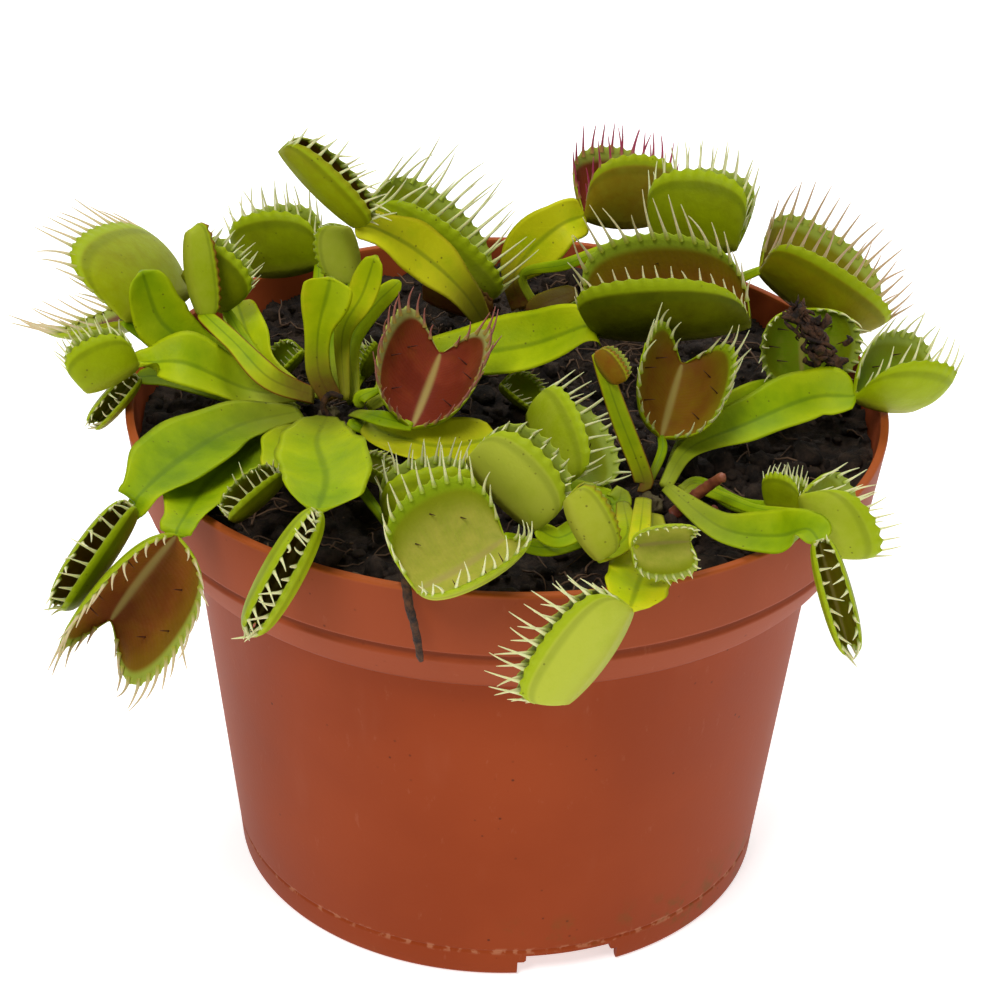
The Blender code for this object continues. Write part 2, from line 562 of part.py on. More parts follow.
leaf("leaf_back_tall",
     stalk=[(-2.5, 25, 78), (-7.5, 13, 92.5), (-14.5, 11.5, 100), (-21, 9, 105), (-24.5, 9, 105.5)],
     widths=(2.5, 5.5, 9, 5.5, 1.5), face=(0.1, -0.8, 0.6),
     trap=Trap(heading=-94, pitch=48, roll=-38, length=17, lobe=9,
               gape=12, heel=0.1, toe=0.19))

# Cut and dried stalks, a twig that lies over the rim, and a dead leaf caught between two traps
stub("stub_red", [(25.2, -30.9, 78.6), (28.5, -31.6, 82), (32, -34, 86.5)], 1.0, RED_STALK)
stub("stub_short", [(28.6, -31.8, 78.6), (31, -35.2, 81.5)], 0.9, RED_STALK)
stub("stub_hooked", [(-26.5, -6, 78.2), (-28.7, -6, 81), (-27.7, -6, 83.5), (-25.6, -6, 83)], 0.6, DRY_STALK)
stub("twig_on_rim",
     [(-13.9, -56.5, 82), (-13.6, -59.6, 82), (-13.1, -61.3, 79.5), (-12.3, -61.2, 76), (-11.4, -60.6, 70)],
     0.7, DRY_STALK)
leaf("dead_leaf", stalk=[(44, -1, 99.4), (46.5, -1, 94), (50, -1, 87.5)],
     widths=(3, 5, 2.5), face=(0, -1, 0.3), skin=DRY_STALK)
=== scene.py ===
"""The looks of the potted venus flytrap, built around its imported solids.

Metres, +Z up, the pot's axis is the Z axis and the pot stands on z = 0. From the pot on, the
sizes in the sections are in millimetres.
"""
import math
from collections import namedtuple

import bmesh
import bpy
import numpy as np
from mathutils import Matrix, Vector, noise


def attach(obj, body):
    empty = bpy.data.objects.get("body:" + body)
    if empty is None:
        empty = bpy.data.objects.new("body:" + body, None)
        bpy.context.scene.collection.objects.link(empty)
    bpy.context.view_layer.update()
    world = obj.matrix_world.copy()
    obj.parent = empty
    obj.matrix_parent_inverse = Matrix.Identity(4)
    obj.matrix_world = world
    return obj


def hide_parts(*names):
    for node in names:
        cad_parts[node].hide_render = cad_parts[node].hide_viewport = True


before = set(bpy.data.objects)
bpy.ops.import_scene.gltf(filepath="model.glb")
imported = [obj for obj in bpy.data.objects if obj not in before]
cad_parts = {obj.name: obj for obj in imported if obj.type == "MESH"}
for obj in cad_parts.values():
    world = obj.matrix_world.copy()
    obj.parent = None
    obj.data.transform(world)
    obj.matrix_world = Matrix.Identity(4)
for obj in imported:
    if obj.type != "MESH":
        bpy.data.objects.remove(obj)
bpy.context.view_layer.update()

# --------------------------------------------------------------------------------------------------
# The studio: a pale sweep of paper under and behind the plant, lit by a large soft light over the
# camera, a weaker one at the right, one from above and behind, and a dim white room. A long lens looks
# down at the plant from in front.
SWEEP_FRONT, SWEEP_BACK, SWEEP_SIDE, SWEEP_RISE, SWEEP_BEND = -1.2, 1.0, 1.6, 1.4, 0.5
CAMERA_PLACE = (-0.000784, -0.412787, 0.298722)
CAMERA_TILT, CAMERA_ROLL, CAMERA_LENS = 29.844, 1.46, 106.45


def lay_sweep():
    bend = [(SWEEP_BACK + SWEEP_BEND * math.sin(a), SWEEP_BEND - SWEEP_BEND * math.cos(a))
            for a in (math.pi / 2 * step / 16 for step in range(17))]
    profile = [(SWEEP_FRONT, 0), *bend, (SWEEP_BACK + SWEEP_BEND, SWEEP_RISE)]
    sheet = bpy.data.meshes.new("paper_sweep")
    points = [(side * SWEEP_SIDE, y, z - 0.0002) for y, z in profile for side in (-1, 1)]
    sheet.from_pydata(points, [], [(2 * i, 2 * i + 1, 2 * i + 3, 2 * i + 2) for i in range(len(profile) - 1)])
    for face in sheet.polygons:
        face.use_smooth = True
    sweep = bpy.data.objects.new("paper_sweep", sheet)
    bpy.context.scene.collection.objects.link(sweep)
    paper = bpy.data.materials.new("white_paper")
    paper.use_nodes = True
    paper.node_tree.nodes["Principled BSDF"].inputs["Base Color"].default_value = (0.86, 0.86, 0.86, 1)
    paper.node_tree.nodes["Principled BSDF"].inputs["Roughness"].default_value = 0.9
    paper.node_tree.nodes["Principled BSDF"].inputs["Emission Color"].default_value = (1, 1, 1, 1)
    paper.node_tree.nodes["Principled BSDF"].inputs["Emission Strength"].default_value = 0.62
    sheet.materials.append(paper)


def hang_light(name, place, aim, size, watts):
    lamp = bpy.data.lights.new(name, "AREA")
    lamp.shape = "DISK"
    lamp.size = size
    lamp.energy = watts
    hung = bpy.data.objects.new(name, lamp)
    hung.location = place
    hung.rotation_euler = (Vector(aim) - Vector(place)).to_track_quat("-Z", "Y").to_euler()
    bpy.context.scene.collection.objects.link(hung)


def set_camera():
    tilt, roll = math.radians(CAMERA_TILT), math.radians(CAMERA_ROLL)
    forward = Vector((0, math.cos(tilt), -math.sin(tilt)))
    level = Vector((1, 0, 0))
    over = level.cross(forward)
    right = math.cos(roll) * level + math.sin(roll) * over
    up = -math.sin(roll) * level + math.cos(roll) * over
    camera = bpy.data.objects.new("camera", bpy.data.cameras.new("camera"))
    camera.data.lens = CAMERA_LENS
    camera.data.sensor_width = 36
    camera.data.clip_start = 0.01
    turned = Matrix((right, up, -forward)).transposed().to_4x4()
    camera.matrix_world = Matrix.Translation(CAMERA_PLACE) @ turned
    bpy.context.scene.collection.objects.link(camera)
    bpy.context.scene.camera = camera


lay_sweep()
set_camera()
hang_light("soft_key", (-0.30, -0.62, 0.95), (0, 0, 0.06), 0.42, 6.3)
hang_light("soft_fill", (0.75, -0.55, 0.50), (0, 0, 0.06), 0.6, 1.2)
hang_light("soft_top", (0.1, 0.40, 0.95), (0, 0, 0.08), 0.5, 4.0)
room = bpy.data.worlds.new("white_room")
room.use_nodes = True
room.node_tree.nodes["Background"].inputs["Color"].default_value = (1, 1, 1, 1)
room.node_tree.nodes["Background"].inputs["Strength"].default_value = 0.16
bpy.context.scene.world = room
bpy.context.scene.view_settings.view_transform = "Standard"

# --------------------------------------------------------------------------------------------------
# The pot: one thin shell of terracotta-coloured plastic from a mould, with a tall rim band over a small
# groove, a lower band, a tapering wall, a moulding line near the foot and a foot ring with three
# drainage notches. The floor has a round boss under its middle, level with the foot.
MM = 0.001
RIM_RADIUS, RIM_HEIGHT = 60.0, 80.8
FOOT_RADIUS, BOSS_RADIUS = 43.3, 5
FLOOR_BOTTOM, FLOOR_TOP = 4.6, 6
WALL_THICKNESS = 1.4
CORNER_ROUNDING = 0.9
POT_STEPS = 240
NOTCH_ANGLES = (-74, 46, 166)
NOTCH_SIZE = (12, 16.5, 7.6)
NOTCH_ROUNDING = 1.3


class Tone:
    """A shader socket that carries a number, with Python's operators for the maths on it."""

    def __init__(self, finish, socket):
        self.finish, self.socket = finish, socket

    def math(self, operation, *others):
        sockets = {i + 1: other for i, other in enumerate(others)}
        return self.finish.add("ShaderNodeMath", {"operation": operation}, {0: self, **sockets})

    def swapped(self, operation, other):
        return self.finish.add("ShaderNodeMath", {"operation": operation}, {0: other, 1: self})

    def __add__(self, other):
        return self.math("ADD", other)

    def __sub__(self, other):
        return self.math("SUBTRACT", other)

    def __mul__(self, other):
        return self.math("MULTIPLY", other)

    def __rsub__(self, other):
        return self.swapped("SUBTRACT", other)

    __radd__ = __add__
    __rmul__ = __mul__

    def step(self, low, high):
        """0 below low, 1 above high and smooth between, or the other way round where low is the larger."""
        sockets = {"Value": self, "From Min": min(low, high), "From Max": max(low, high)}
        if low > high:
            sockets.update({"To Min": 1.0, "To Max": 0.0})
        return self.finish.add("ShaderNodeMapRange", {"interpolation_type": "SMOOTHSTEP"}, sockets)


class Finish:
    """A material under a maker's name, and the nodes that give it its look."""

    def __init__(self, name, **fixed):
        self.material = bpy.data.materials.new(name)
        self.material.use_nodes = True
        self.nodes = self.material.node_tree.nodes
        self.surface = self.nodes["Principled BSDF"]
        self.set(**fixed)

    def set(self, **sockets):
        for name, value in sockets.items():
            self.join(self.surface.inputs[name.replace("_", " ")], value)

    def join(self, socket, value):
        if isinstance(value, Tone):
            value = value.socket
        if isinstance(value, bpy.types.NodeSocket):
            self.material.node_tree.links.new(value, socket)
        elif hasattr(value, "__len__") and len(value) == 3 and socket.type == "RGBA":
            socket.default_value = (*value, 1)
        else:
            socket.default_value = value

    def add(self, kind, settings=None, sockets=None, out=0):
        """A node of that kind, its settings first and then its sockets, as a Tone if it gives a number."""
        node = self.nodes.new(kind)
        for name, value in (settings or {}).items():
            if name == "stops":
                ramp = node.color_ramp
                while len(ramp.elements) < len(value):
                    ramp.elements.new(0.5)
                for element, (place, colour) in zip(ramp.elements, value):
                    element.position = place
                    element.color = (*colour, 1)
            else:
                setattr(node, name, value)
        for name, value in (sockets or {}).items():
            self.join(node.inputs[name], value)
        socket = node.outputs[out]
        return Tone(self, socket) if socket.type == "VALUE" else socket

    def place(self):
        """Where a point is, in metres."""
        return self.add("ShaderNodeTexCoord", out="Object")

    def stretched(self, scale, turn=(0, 0, 0)):
        return self.add("ShaderNodeMapping", None, {"Vector": self.place(), "Scale": scale, "Rotation": turn})

    def cloud(self, size, detail=3.0, roughness=0.5, at=None, distortion=0.0):
        """Soft noise with lumps of that size in millimetres."""
        return self.add("ShaderNodeTexNoise", None, {
            "Vector": at or self.place(), "Scale": 1 / (size * MM), "Detail": detail, "Roughness": roughness,
            "Distortion": distortion})

    def specks(self, spacing, at=None):
        """Distance to the nearest of scattered points, in units of their spacing in millimetres."""
        return self.add("ShaderNodeTexVoronoi", {"feature": "F1"}, {
            "Vector": at or self.place(), "Scale": 1 / (spacing * MM)})

    def made(self, name):
        return self.add("ShaderNodeAttribute", {"attribute_name": name}, None, "Fac")

    def ramp(self, share, stops):
        return self.add("ShaderNodeValToRGB", {"stops": stops}, {"Fac": share}, "Color")

    def blend(self, share, first, second):
        return self.add("ShaderNodeMix", {"data_type": "RGBA"}, {"Factor": share, 6: first, 7: second}, 2)

    def relief(self, height, distance, strength=1.0):
        """A bump from a height of 0 to 1 that stands for that distance in millimetres."""
        self.set(Normal=self.add("ShaderNodeBump", None, {
            "Height": height, "Distance": distance * MM, "Strength": strength}, "Normal"))


def show(name, mesh, *finishes, smooth=True):
    """Puts a mesh in the scene as a piece that stands with the plant."""
    for finish in finishes:
        mesh.materials.append(finish.material)
    if smooth:
        mesh.polygons.foreach_set("use_smooth", [True] * len(mesh.polygons))
    piece = bpy.data.objects.new(name, mesh)
    bpy.context.scene.collection.objects.link(piece)
    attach(piece, "root")
    return piece


def rounded(corners, radius, steps=4):
    """A profile with each corner between its two ends replaced by a small arc of points."""
    corners = [Vector(corner) for corner in corners]
    points = [corners[0]]
    for before, corner, after in zip(corners, corners[1:], corners[2:]):
        back = (before - corner)
        ahead = (after - corner)
        reach = min(radius, back.length * 0.45, ahead.length * 0.45)
        start, end = corner + back.normalized() * reach, corner + ahead.normalized() * reach
        shares = [step / steps for step in range(steps + 1)]
        points += [start.lerp(corner, t).lerp(corner.lerp(end, t), t) for t in shares]
    return points + [corners[-1]]


def turn_profile(name, profile, steps):
    """A closed profile turned about Z."""
    count = len(profile)
    angles = np.linspace(0, 2 * math.pi, steps, endpoint=False)
    radius = np.array([p[0] for p in profile])
    height = np.array([p[1] for p in profile])
    points = np.stack([np.outer(np.cos(angles), radius), np.outer(np.sin(angles), radius),
                       np.tile(height, (steps, 1))], axis=-1).reshape(-1, 3) * MM
    faces = [(a * count + i, ((a + 1) % steps) * count + i, ((a + 1) % steps) * count + (i + 1) % count,
              a * count + (i + 1) % count) for a in range(steps) for i in range(count)]
    mesh = bpy.data.meshes.new(name)
    mesh.from_pydata(points.tolist(), [], faces)
    return mesh


def mould_pot():
    outside = [(RIM_RADIUS - 1.2, RIM_HEIGHT), (RIM_RADIUS, RIM_HEIGHT), (58.4, 69.6), (57.3, 69.2),
               (57.3, 68.3), (57.6, 67.6), (54.9, 62.4), (54.2, 61.7), (50.3, 61.5), (43.85, 5.3),
               (43.55, 4.9), (43.75, 4.5), (FOOT_RADIUS, 0)]
    inside = [(FOOT_RADIUS - WALL_THICKNESS, 0), (43.4 - WALL_THICKNESS, FLOOR_BOTTOM),
              (BOSS_RADIUS, FLOOR_BOTTOM), (BOSS_RADIUS, 0), (0.01, 0), (0.01, FLOOR_TOP),
              (43.6 - WALL_THICKNESS, FLOOR_TOP), (50 - WALL_THICKNESS, 62), (54.4 - WALL_THICKNESS, 63),
              (58.2 - WALL_THICKNESS, 68.7), (RIM_RADIUS - WALL_THICKNESS, RIM_HEIGHT - 0.1),
              (RIM_RADIUS - 1.2, RIM_HEIGHT)]
    profile = rounded(outside + inside, CORNER_ROUNDING)[:-1]
    shell = show("pot_shell", turn_profile("pot_shell", profile, POT_STEPS), terracotta)
    for number, angle in enumerate(NOTCH_ANGLES):
        cutter = bpy.data.meshes.new(f"notch_{number}")
        work = bmesh.new()
        bmesh.ops.create_cube(work, size=1.0)
        for vertex in work.verts:
            vertex.co = Vector([a * b * MM for a, b in zip(vertex.co, NOTCH_SIZE)])
        outward = [e for e in work.edges if abs(e.verts[0].co.x - e.verts[1].co.x) > MM]
        bmesh.ops.bevel(work, geom=outward, offset=NOTCH_ROUNDING * MM, segments=5, affect="EDGES")
        work.to_mesh(cutter)
        work.free()
        block = bpy.data.objects.new(f"notch_{number}", cutter)
        bpy.context.scene.collection.objects.link(block)
        turn = math.radians(angle)
        place = (FOOT_RADIUS * MM * math.cos(turn), FOOT_RADIUS * MM * math.sin(turn), 0)
        block.matrix_world = Matrix.Translation(place) @ Matrix.Rotation(turn, 4, "Z")
        cut = shell.modifiers.new("notch", "BOOLEAN")
        cut.operation, cut.solver, cut.object = "DIFFERENCE", "EXACT", block
        bpy.context.view_layer.update()
        notched = shell.evaluated_get(bpy.context.evaluated_depsgraph_get())
        done = bpy.data.meshes.new_from_object(notched)
        shell.modifiers.clear()
        shell.data = done
        bpy.data.objects.remove(block)
    shell.data.set_sharp_from_angle(angle=math.radians(40))
    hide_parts("pot")


terracotta = Finish("terracotta_plastic", Specular_IOR_Level=0.10)
height = terracotta.add("ShaderNodeSeparateXYZ", None, {"Vector": terracotta.place()}, "Z")
broad = terracotta.cloud(26, 3)
streaks = terracotta.cloud(9, 4, at=terracotta.stretched((1, 1, 0.25)))
plastic = terracotta.blend(broad.step(0.3, 0.75), (0.282, 0.042, 0.0060), (0.318, 0.052, 0.010))
plastic = terracotta.blend(streaks.step(0.55, 0.8) * 0.30, plastic, (0.36, 0.085, 0.035))
plastic = terracotta.blend(height.step(0.0600, 0.0635) * 0.45, plastic, (0.33, 0.075, 0.028))
# Painted highlight: the flat top of the rim, from 80 mm up, is painted a lighter orange where the light falls
# on it.
plastic = terracotta.blend(height.step(0.0800, 0.0806) * 0.6, plastic, (0.46, 0.105, 0.020))
# Painted shade: dark lines in the small groove under the rim band and on the underside of the lower band,
# where shade falls.
groove = height.step(0.0680, 0.0686) * height.step(0.0697, 0.0692)
under_band_shade = height.step(0.0608, 0.0614) * height.step(0.0626, 0.0619)
plastic = terracotta.blend((groove + under_band_shade) * 0.55, plastic, (0.15, 0.026, 0.008))
line = height.step(0.0040, 0.0047) * height.step(0.0058, 0.0050)
worn = terracotta.cloud(1.6, 3).step(0.5, 0.62) * line
plastic = terracotta.blend(worn * 0.7, plastic, (0.50, 0.20, 0.10))
slanted = terracotta.stretched((1, 1, 0.4), (0.5, 0.3, 0))
scuffs = terracotta.cloud(2.2, 5, 0.7, at=slanted).step(0.62, 0.72)
plastic = terracotta.blend(scuffs * 0.25, plastic, (0.42, 0.13, 0.065))
dust = terracotta.specks(2.6).step(0.12, 0.05) * terracotta.cloud(14, 2).step(0.52, 0.66)
plastic = terracotta.blend(dust * 0.75, plastic, (0.06, 0.014, 0.006))
low_down = height.step(0.015, 0.004)
algae = low_down * terracotta.cloud(5, 4, 0.7).step(0.50, 0.66) * terracotta.cloud(30, 1).step(0.45, 0.6)
plastic = terracotta.blend(algae * 0.55, plastic, (0.12, 0.075, 0.010))
terracotta.set(Base_Color=plastic, Roughness=0.46 + 0.18 * broad)
terracotta.relief(terracotta.cloud(0.7, 2) * 0.35 + streaks * 0.3 + terracotta.cloud(30, 1), 0.12, 0.5)
mould_pot()

# --------------------------------------------------------------------------------------------------
# The peat: dark, moist and lumpy, filling the pot to a few millimetres under its rim and heaped a little
# round the crowns, with loose crumbs and thin root fibres on top. Only its top surface is made.
CROWNS = {"left": (-28.0, -4.0), "right": (21.6, -28.9), "back": (0.9, 31.7)}
PEAT_EDGE, PEAT_RADIUS, PEAT_GRAIN = 75.2, 58.0, 0.5
HEAP_HEIGHT, HEAP_SPREAD = 1.4, 12.0
CRUMBS, FIBRES = 1500, 420


def peat_height(x, y):
    heap = max(math.exp(-((x - cx) ** 2 + (y - cy) ** 2) / HEAP_SPREAD ** 2)
               for cx, cy in CROWNS.values())
    lumps = noise.fractal(Vector((x, y, 3)) / 7.0, 0.7, 2.1, 5)
    clods = noise.cell(Vector((x, y, 0)) / 3.1)
    edge = max(0.0, (math.hypot(x, y) - 50) / 8)
    grit = noise.fractal(Vector((x, y, 9)) / 1.7, 0.9, 2.2, 4)
    return PEAT_EDGE + HEAP_HEIGHT * heap + 1.3 * lumps + 0.45 * clods + 0.35 * grit + 0.5 * edge


def lay_peat():
    count = int(2 * PEAT_RADIUS / PEAT_GRAIN)
    points, index = [], {}
    for i in range(count + 1):
        for j in range(count + 1):
            x, y = -PEAT_RADIUS + i * PEAT_GRAIN, -PEAT_RADIUS + j * PEAT_GRAIN
            if math.hypot(x, y) <= PEAT_RADIUS:
                index[i, j] = len(points)
                points.append((x * MM, y * MM, peat_height(x, y) * MM))
    faces = []
    for i, j in index:
        square = [(i, j), (i + 1, j), (i + 1, j + 1), (i, j + 1)]
        if all(corner in index for corner in square):
            faces.append([index[corner] for corner in square])
    mesh = bpy.data.meshes.new("peat")
    mesh.from_pydata(points, [], faces)
    body = show("peat", mesh, peat)
    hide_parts("soil")


def scatter_crumbs(rng):
    """Crumbs of peat all over the top, none through the pot's wall."""
    work = bmesh.new()
    for number in range(CRUMBS):
        angle = rng.uniform(0, 2 * math.pi)
        radius = PEAT_RADIUS * math.sqrt(rng.uniform(0.0, 0.99))
        x, y = radius * math.cos(angle), radius * math.sin(angle)
        size = rng.uniform(0.4, 1.0) if number % 6 else rng.uniform(1.1, 2.4)
        inward = min(1.0, (PEAT_RADIUS - 1.6 * size) / radius)
        x, y = x * inward, y * inward
        made = bmesh.ops.create_icosphere(work, subdivisions=2, radius=size * MM)["verts"]
        stretch = Vector((rng.uniform(0.7, 1.3), rng.uniform(0.7, 1.3), rng.uniform(0.6, 1.0)))
        shift = Vector((x, y, peat_height(x, y) + 0.2 * size)) * MM
        offset = Vector(rng.uniform(-50, 50, 3))
        for vertex in made:
            rough = 1 + 0.5 * noise.fractal(vertex.co / (1.1 * size * MM) + offset, 0.8, 2.0, 3)
            vertex.co = Vector([c * s for c, s in zip(vertex.co * rough, stretch)]) + shift
    mesh = bpy.data.meshes.new("peat_crumbs")
    work.to_mesh(mesh)
    work.free()
    show("peat_crumbs", mesh, peat)


def thread(points, radii, sides):
    """Points and faces of a round thread through the points, closed at its far end."""
    points = [Vector(p) for p in points]
    rings, faces = [], []
    aside = None
    for number, (point, radius) in enumerate(zip(points, radii)):
        after, before = points[min(number + 1, len(points) - 1)], points[max(number - 1, 0)]
        ahead = (after - before).normalized()
        if aside is None:
            aside = ahead.orthogonal().normalized()
        aside = (aside - ahead * aside.dot(ahead)).normalized()
        across = ahead.cross(aside)
        for side in range(sides):
            turn = 2 * math.pi * side / sides
            rings.append(point + float(radius) * (math.cos(turn) * aside + math.sin(turn) * across))
    for number in range(len(points) - 1):
        for side in range(sides):
            a, b = number * sides + side, number * sides + (side + 1) % sides
            faces.append((a, b, b + sides, a + sides))
    faces.append(tuple(range((len(points) - 1) * sides, len(points) * sides)))
    return rings, faces


def lay_fibres(rng):
    points, faces = [], []
    for number in range(FIBRES):
        angle, radius = rng.uniform(0, 2 * math.pi), 56 * math.sqrt(rng.uniform(0, 1))
        x, y = radius * math.cos(angle), radius * math.sin(angle)
        heading, length = rng.uniform(0, 2 * math.pi), rng.uniform(3, 11)
        route = []
        for step in range(8):
            lift = 0.5 + 1.1 * math.sin(math.pi * step / 7) * (0.3 + (number % 4 == 0))
            if math.hypot(x, y) > 57:
                break
            route.append((x, y, peat_height(x, y) + lift))
            heading += rng.uniform(-0.5, 0.5)
            x += math.cos(heading) * length / 7
            y += math.sin(heading) * length / 7
        if len(route) < 4:
            continue
        made, skin = thread(route, np.linspace(0.19, 0.07, len(route)), 5)
        faces += [tuple(i + len(points) for i in face) for face in skin]
        points += [point * MM for point in made]
    mesh = bpy.data.meshes.new("root_fibres")
    mesh.from_pydata(points, [], faces)
    show("root_fibres", mesh, root_fibre)


peat = Finish("moist_peat", Roughness=0.85, Specular_IOR_Level=0.3)
clods = peat.cloud(2.4, 6, 0.65)
soil_tone = peat.blend(clods.step(0.35, 0.7), (0.010, 0.006, 0.004), (0.070, 0.042, 0.026))
soil_tone = peat.blend(peat.cloud(12, 2).step(0.5, 0.75) * 0.5, soil_tone, (0.095, 0.058, 0.036))
straw = peat.specks(1.5).step(0.16, 0.06) * peat.cloud(5, 2).step(0.5, 0.65)
soil_tone = peat.blend(straw * 0.8, soil_tone, (0.22, 0.12, 0.06))
peat.set(Base_Color=soil_tone, Roughness=0.95 - 0.35 * clods)
peat.relief(peat.cloud(1.0, 8, 0.75), 1.2, 1.0)

root_fibre = Finish("root_fibre", Roughness=0.8)
root_fibre.set(Base_Color=root_fibre.blend(
    root_fibre.cloud(6, 2), (0.035, 0.017, 0.009), (0.22, 0.12, 0.060)))
lay_peat()
scatter_crumbs(np.random.default_rng(7))
lay_fibres(np.random.default_rng(11))

# --------------------------------------------------------------------------------------------------
# The leaves. Each grew as one piece: a fleshy stalk that widens to a winged blade and narrows to a
# short neck, then the trap, two curved lobes on one midrib, with a pale toothed rim, stiff bristles on
# most, and three trigger hairs a lobe on the large open ones.
Trap = namedtuple("Trap", "heading pitch roll length lobe gape heel toe")
Tint = namedtuple("Tint", "blade edge outside warm inside rim bristle root flush",
                  defaults=(0.4, 0.0, 0.33, 0.0, 0.35, 0.3, 0.0, 0.15, 0.0))
BLADE_COLUMNS, LOBE_COLUMNS = 12, 12
STALK_FOLD = math.radians(18)
LOBE_CURL, LOBE_FULLNESS, MIDRIB_SAG, LOBE_DOME = math.radians(40), 0.72, 0.06, 0.05
BRISTLE_SPACING, FEWEST_BRISTLES, MOST_BRISTLES, BRISTLE_LENGTH = 2.1, 12, 19, 0.34
BRISTLE_ROOT, BRISTLE_RADII = 0.7, np.array([0.44, 0.32, 0.23, 0.19, 0.16, 0.13, 0.095, 0.045])
TRIGGER_PLACES = ((0.36, 0.50), (0.64, 0.50), (0.50, 0.68))
TRIGGER_LENGTH, TRIGGER_MARK = 1.9, 2.0


def along_curve(points, at):
    """The point at 0..1 along a Catmull-Rom curve through the points."""
    points = np.asarray(points, float)
    points = np.vstack([2 * points[0] - points[1], points, 2 * points[-1] - points[-2]])
    spans = len(points) - 3
    span = min(int(at * spans), spans - 1)
    t = at * spans - span
    a, b, c, d = points[span:span + 4]
    return 0.5 * (2 * b + (c - a) * t + (2 * a - 5 * b + 4 * c - d) * t * t
                  + (3 * b - a - 3 * c + d) * t ** 3)


def unit(vector):
    return vector / np.linalg.norm(vector)


def blade_width(widths, at, ends_in_neck):
    """The blade's width, held full almost to the neck or tip and then rounded off."""
    spans = len(widths) - 1
    if at * spans < spans - 1:
        return max(along_curve([[w, 0, 0] for w in widths], at)[0], 0.9)
    t = at * spans - (spans - 1)
    last = widths[-1] if ends_in_neck else widths[-1] * 0.35
    power = 2.4 if widths[-2] > 3 else 1.4
    return max(last + (widths[-2] - last) * max(1 - t ** power, 0) ** (1 / power), 0.9)


class Growth:
    """Points, faces and surface marks of one leaf while it is built up."""

    MARKS = ("across", "along", "lobe", "face")

    def __init__(self):
        self.points, self.faces, self.marks = [], [], []

    def ring_skin(self, rings, marks):
        """Joins closed rings of equal size into a skin and caps both ends."""
        start, size = len(self.points), len(rings[0])
        for ring, mark in zip(rings, marks):
            self.points += list(ring)
            self.marks += list(mark)
        for row in range(len(rings) - 1):
            for k in range(size):
                a, b = start + row * size + k, start + row * size + (k + 1) % size
                self.faces.append((a, b, b + size, a + size))
        self.faces.append(tuple(start + k for k in reversed(range(size))))
        self.faces.append(tuple(start + (len(rings) - 1) * size + k for k in range(size)))

    def mesh(self, name):
        mesh = bpy.data.meshes.new(name)
        mesh.from_pydata([tuple(p * MM) for p in self.points], [], self.faces)
        marks = np.array(self.marks, np.float32)
        for column, mark in enumerate(self.MARKS):
            mesh.attributes.new(mark, "FLOAT", "POINT").data.foreach_set("value", marks[:, column])
        return mesh


def grow_stalk(growth, stalk, widths, face, neck, seed):
    reach = sum(np.linalg.norm(np.subtract(b, a)) for a, b in zip(stalk, stalk[1:]))
    rows = max(12, round(reach / 0.8))
    columns = list(np.linspace(1, -1, BLADE_COLUMNS + 1))
    rings, marks = [], []
    for row in range(rows + 1):
        at = row / rows
        centre = along_curve(stalk, at)
        ahead = unit(along_curve(stalk, min(at + 0.02, 1)) - along_curve(stalk, max(at - 0.02, 0)))
        upper = unit(np.array(face) - ahead * np.dot(face, ahead))
        left = np.cross(upper, ahead)
        half = blade_width(widths, at, neck) / 2
        flat = min(max((half - 0.8) / 2.5, 0), 1)
        half *= 1 + 0.03 * flat * math.sin(9 * at * reach / 12 + seed)
        top, under = [], []
        for q in columns:
            wave = 0.05 * half * flat * q * q * math.sin(reach * at / 3.1 + seed + 2 * q)
            lift = half * math.sin(STALK_FOLD) * abs(q) ** 1.6 * flat + wave
            groove = 0.22 * flat * math.exp(-(q * half / 0.7) ** 2)
            thick = 0.22 + (0.55 + 0.35 * (1 - flat)) * math.exp(-(q * half / (1.0 + 0.2 * half)) ** 2)
            ellipse = math.sqrt(max(1 - q * q, 0))
            round_off = ellipse if flat < 1 else min(1, 3.2 * math.sqrt(max(1 - abs(q), 0)))
            body = thick * ((1 - flat) * ellipse + flat * round_off)
            out = centre + left * half * q * (1 - 0.06 * flat)
            top.append(out + upper * (lift - groove + 0.35 * body * (1 - 0.2 * flat)))
            under.append(out + upper * (lift - 0.75 * body))
        rings.append(top + under[-2:0:-1])
        marks.append([(abs(q), at, 0, 1) for q in columns]
                     + [(abs(q), at, 0, 0) for q in columns[-2:0:-1]])
    growth.ring_skin(rings, marks)


def trap_axes(trap):
    heading, pitch, roll = (math.radians(a) for a in (trap.heading, trap.pitch, trap.roll))
    ahead = np.array([math.cos(pitch) * math.sin(heading), math.cos(pitch) * math.cos(heading),
                      math.sin(pitch)])
    side = unit(np.cross(ahead, [0, 0, 1]))
    mouth = math.cos(roll) * np.cross(side, ahead) + math.sin(roll) * side
    return np.array([ahead, np.cross(mouth, ahead), mouth])


def lobe_point(trap, angle, out, side, fringe=0.0):
    """A point on the inside of a lobe in the trap's axes, domed a little outwards."""
    half_gape = math.radians(trap.gape / 2)
    at = (1 - math.cos(angle)) / 2
    start = half_gape + LOBE_CURL / 2
    turn = start - LOBE_CURL * out
    depth = trap.lobe * math.sin(angle) ** LOBE_FULLNESS * (1 + fringe * max(out - 0.9, 0) * 10)
    along = trap.length * (at + math.sin(angle) * (trap.toe * at - trap.heel * (1 - at)) * out)
    across = depth * (math.cos(turn) - math.cos(start)) / LOBE_CURL
    up = depth * (math.sin(start) - math.sin(turn)) / LOBE_CURL - MIDRIB_SAG * trap.length * 4 * at * (1 - at)
    dome = LOBE_DOME * trap.lobe * math.sin(math.pi * min(out, 1)) * math.sin(angle)
    return np.array([along, side * (across + dome * math.cos(half_gape)), up - dome * math.sin(half_gape)])


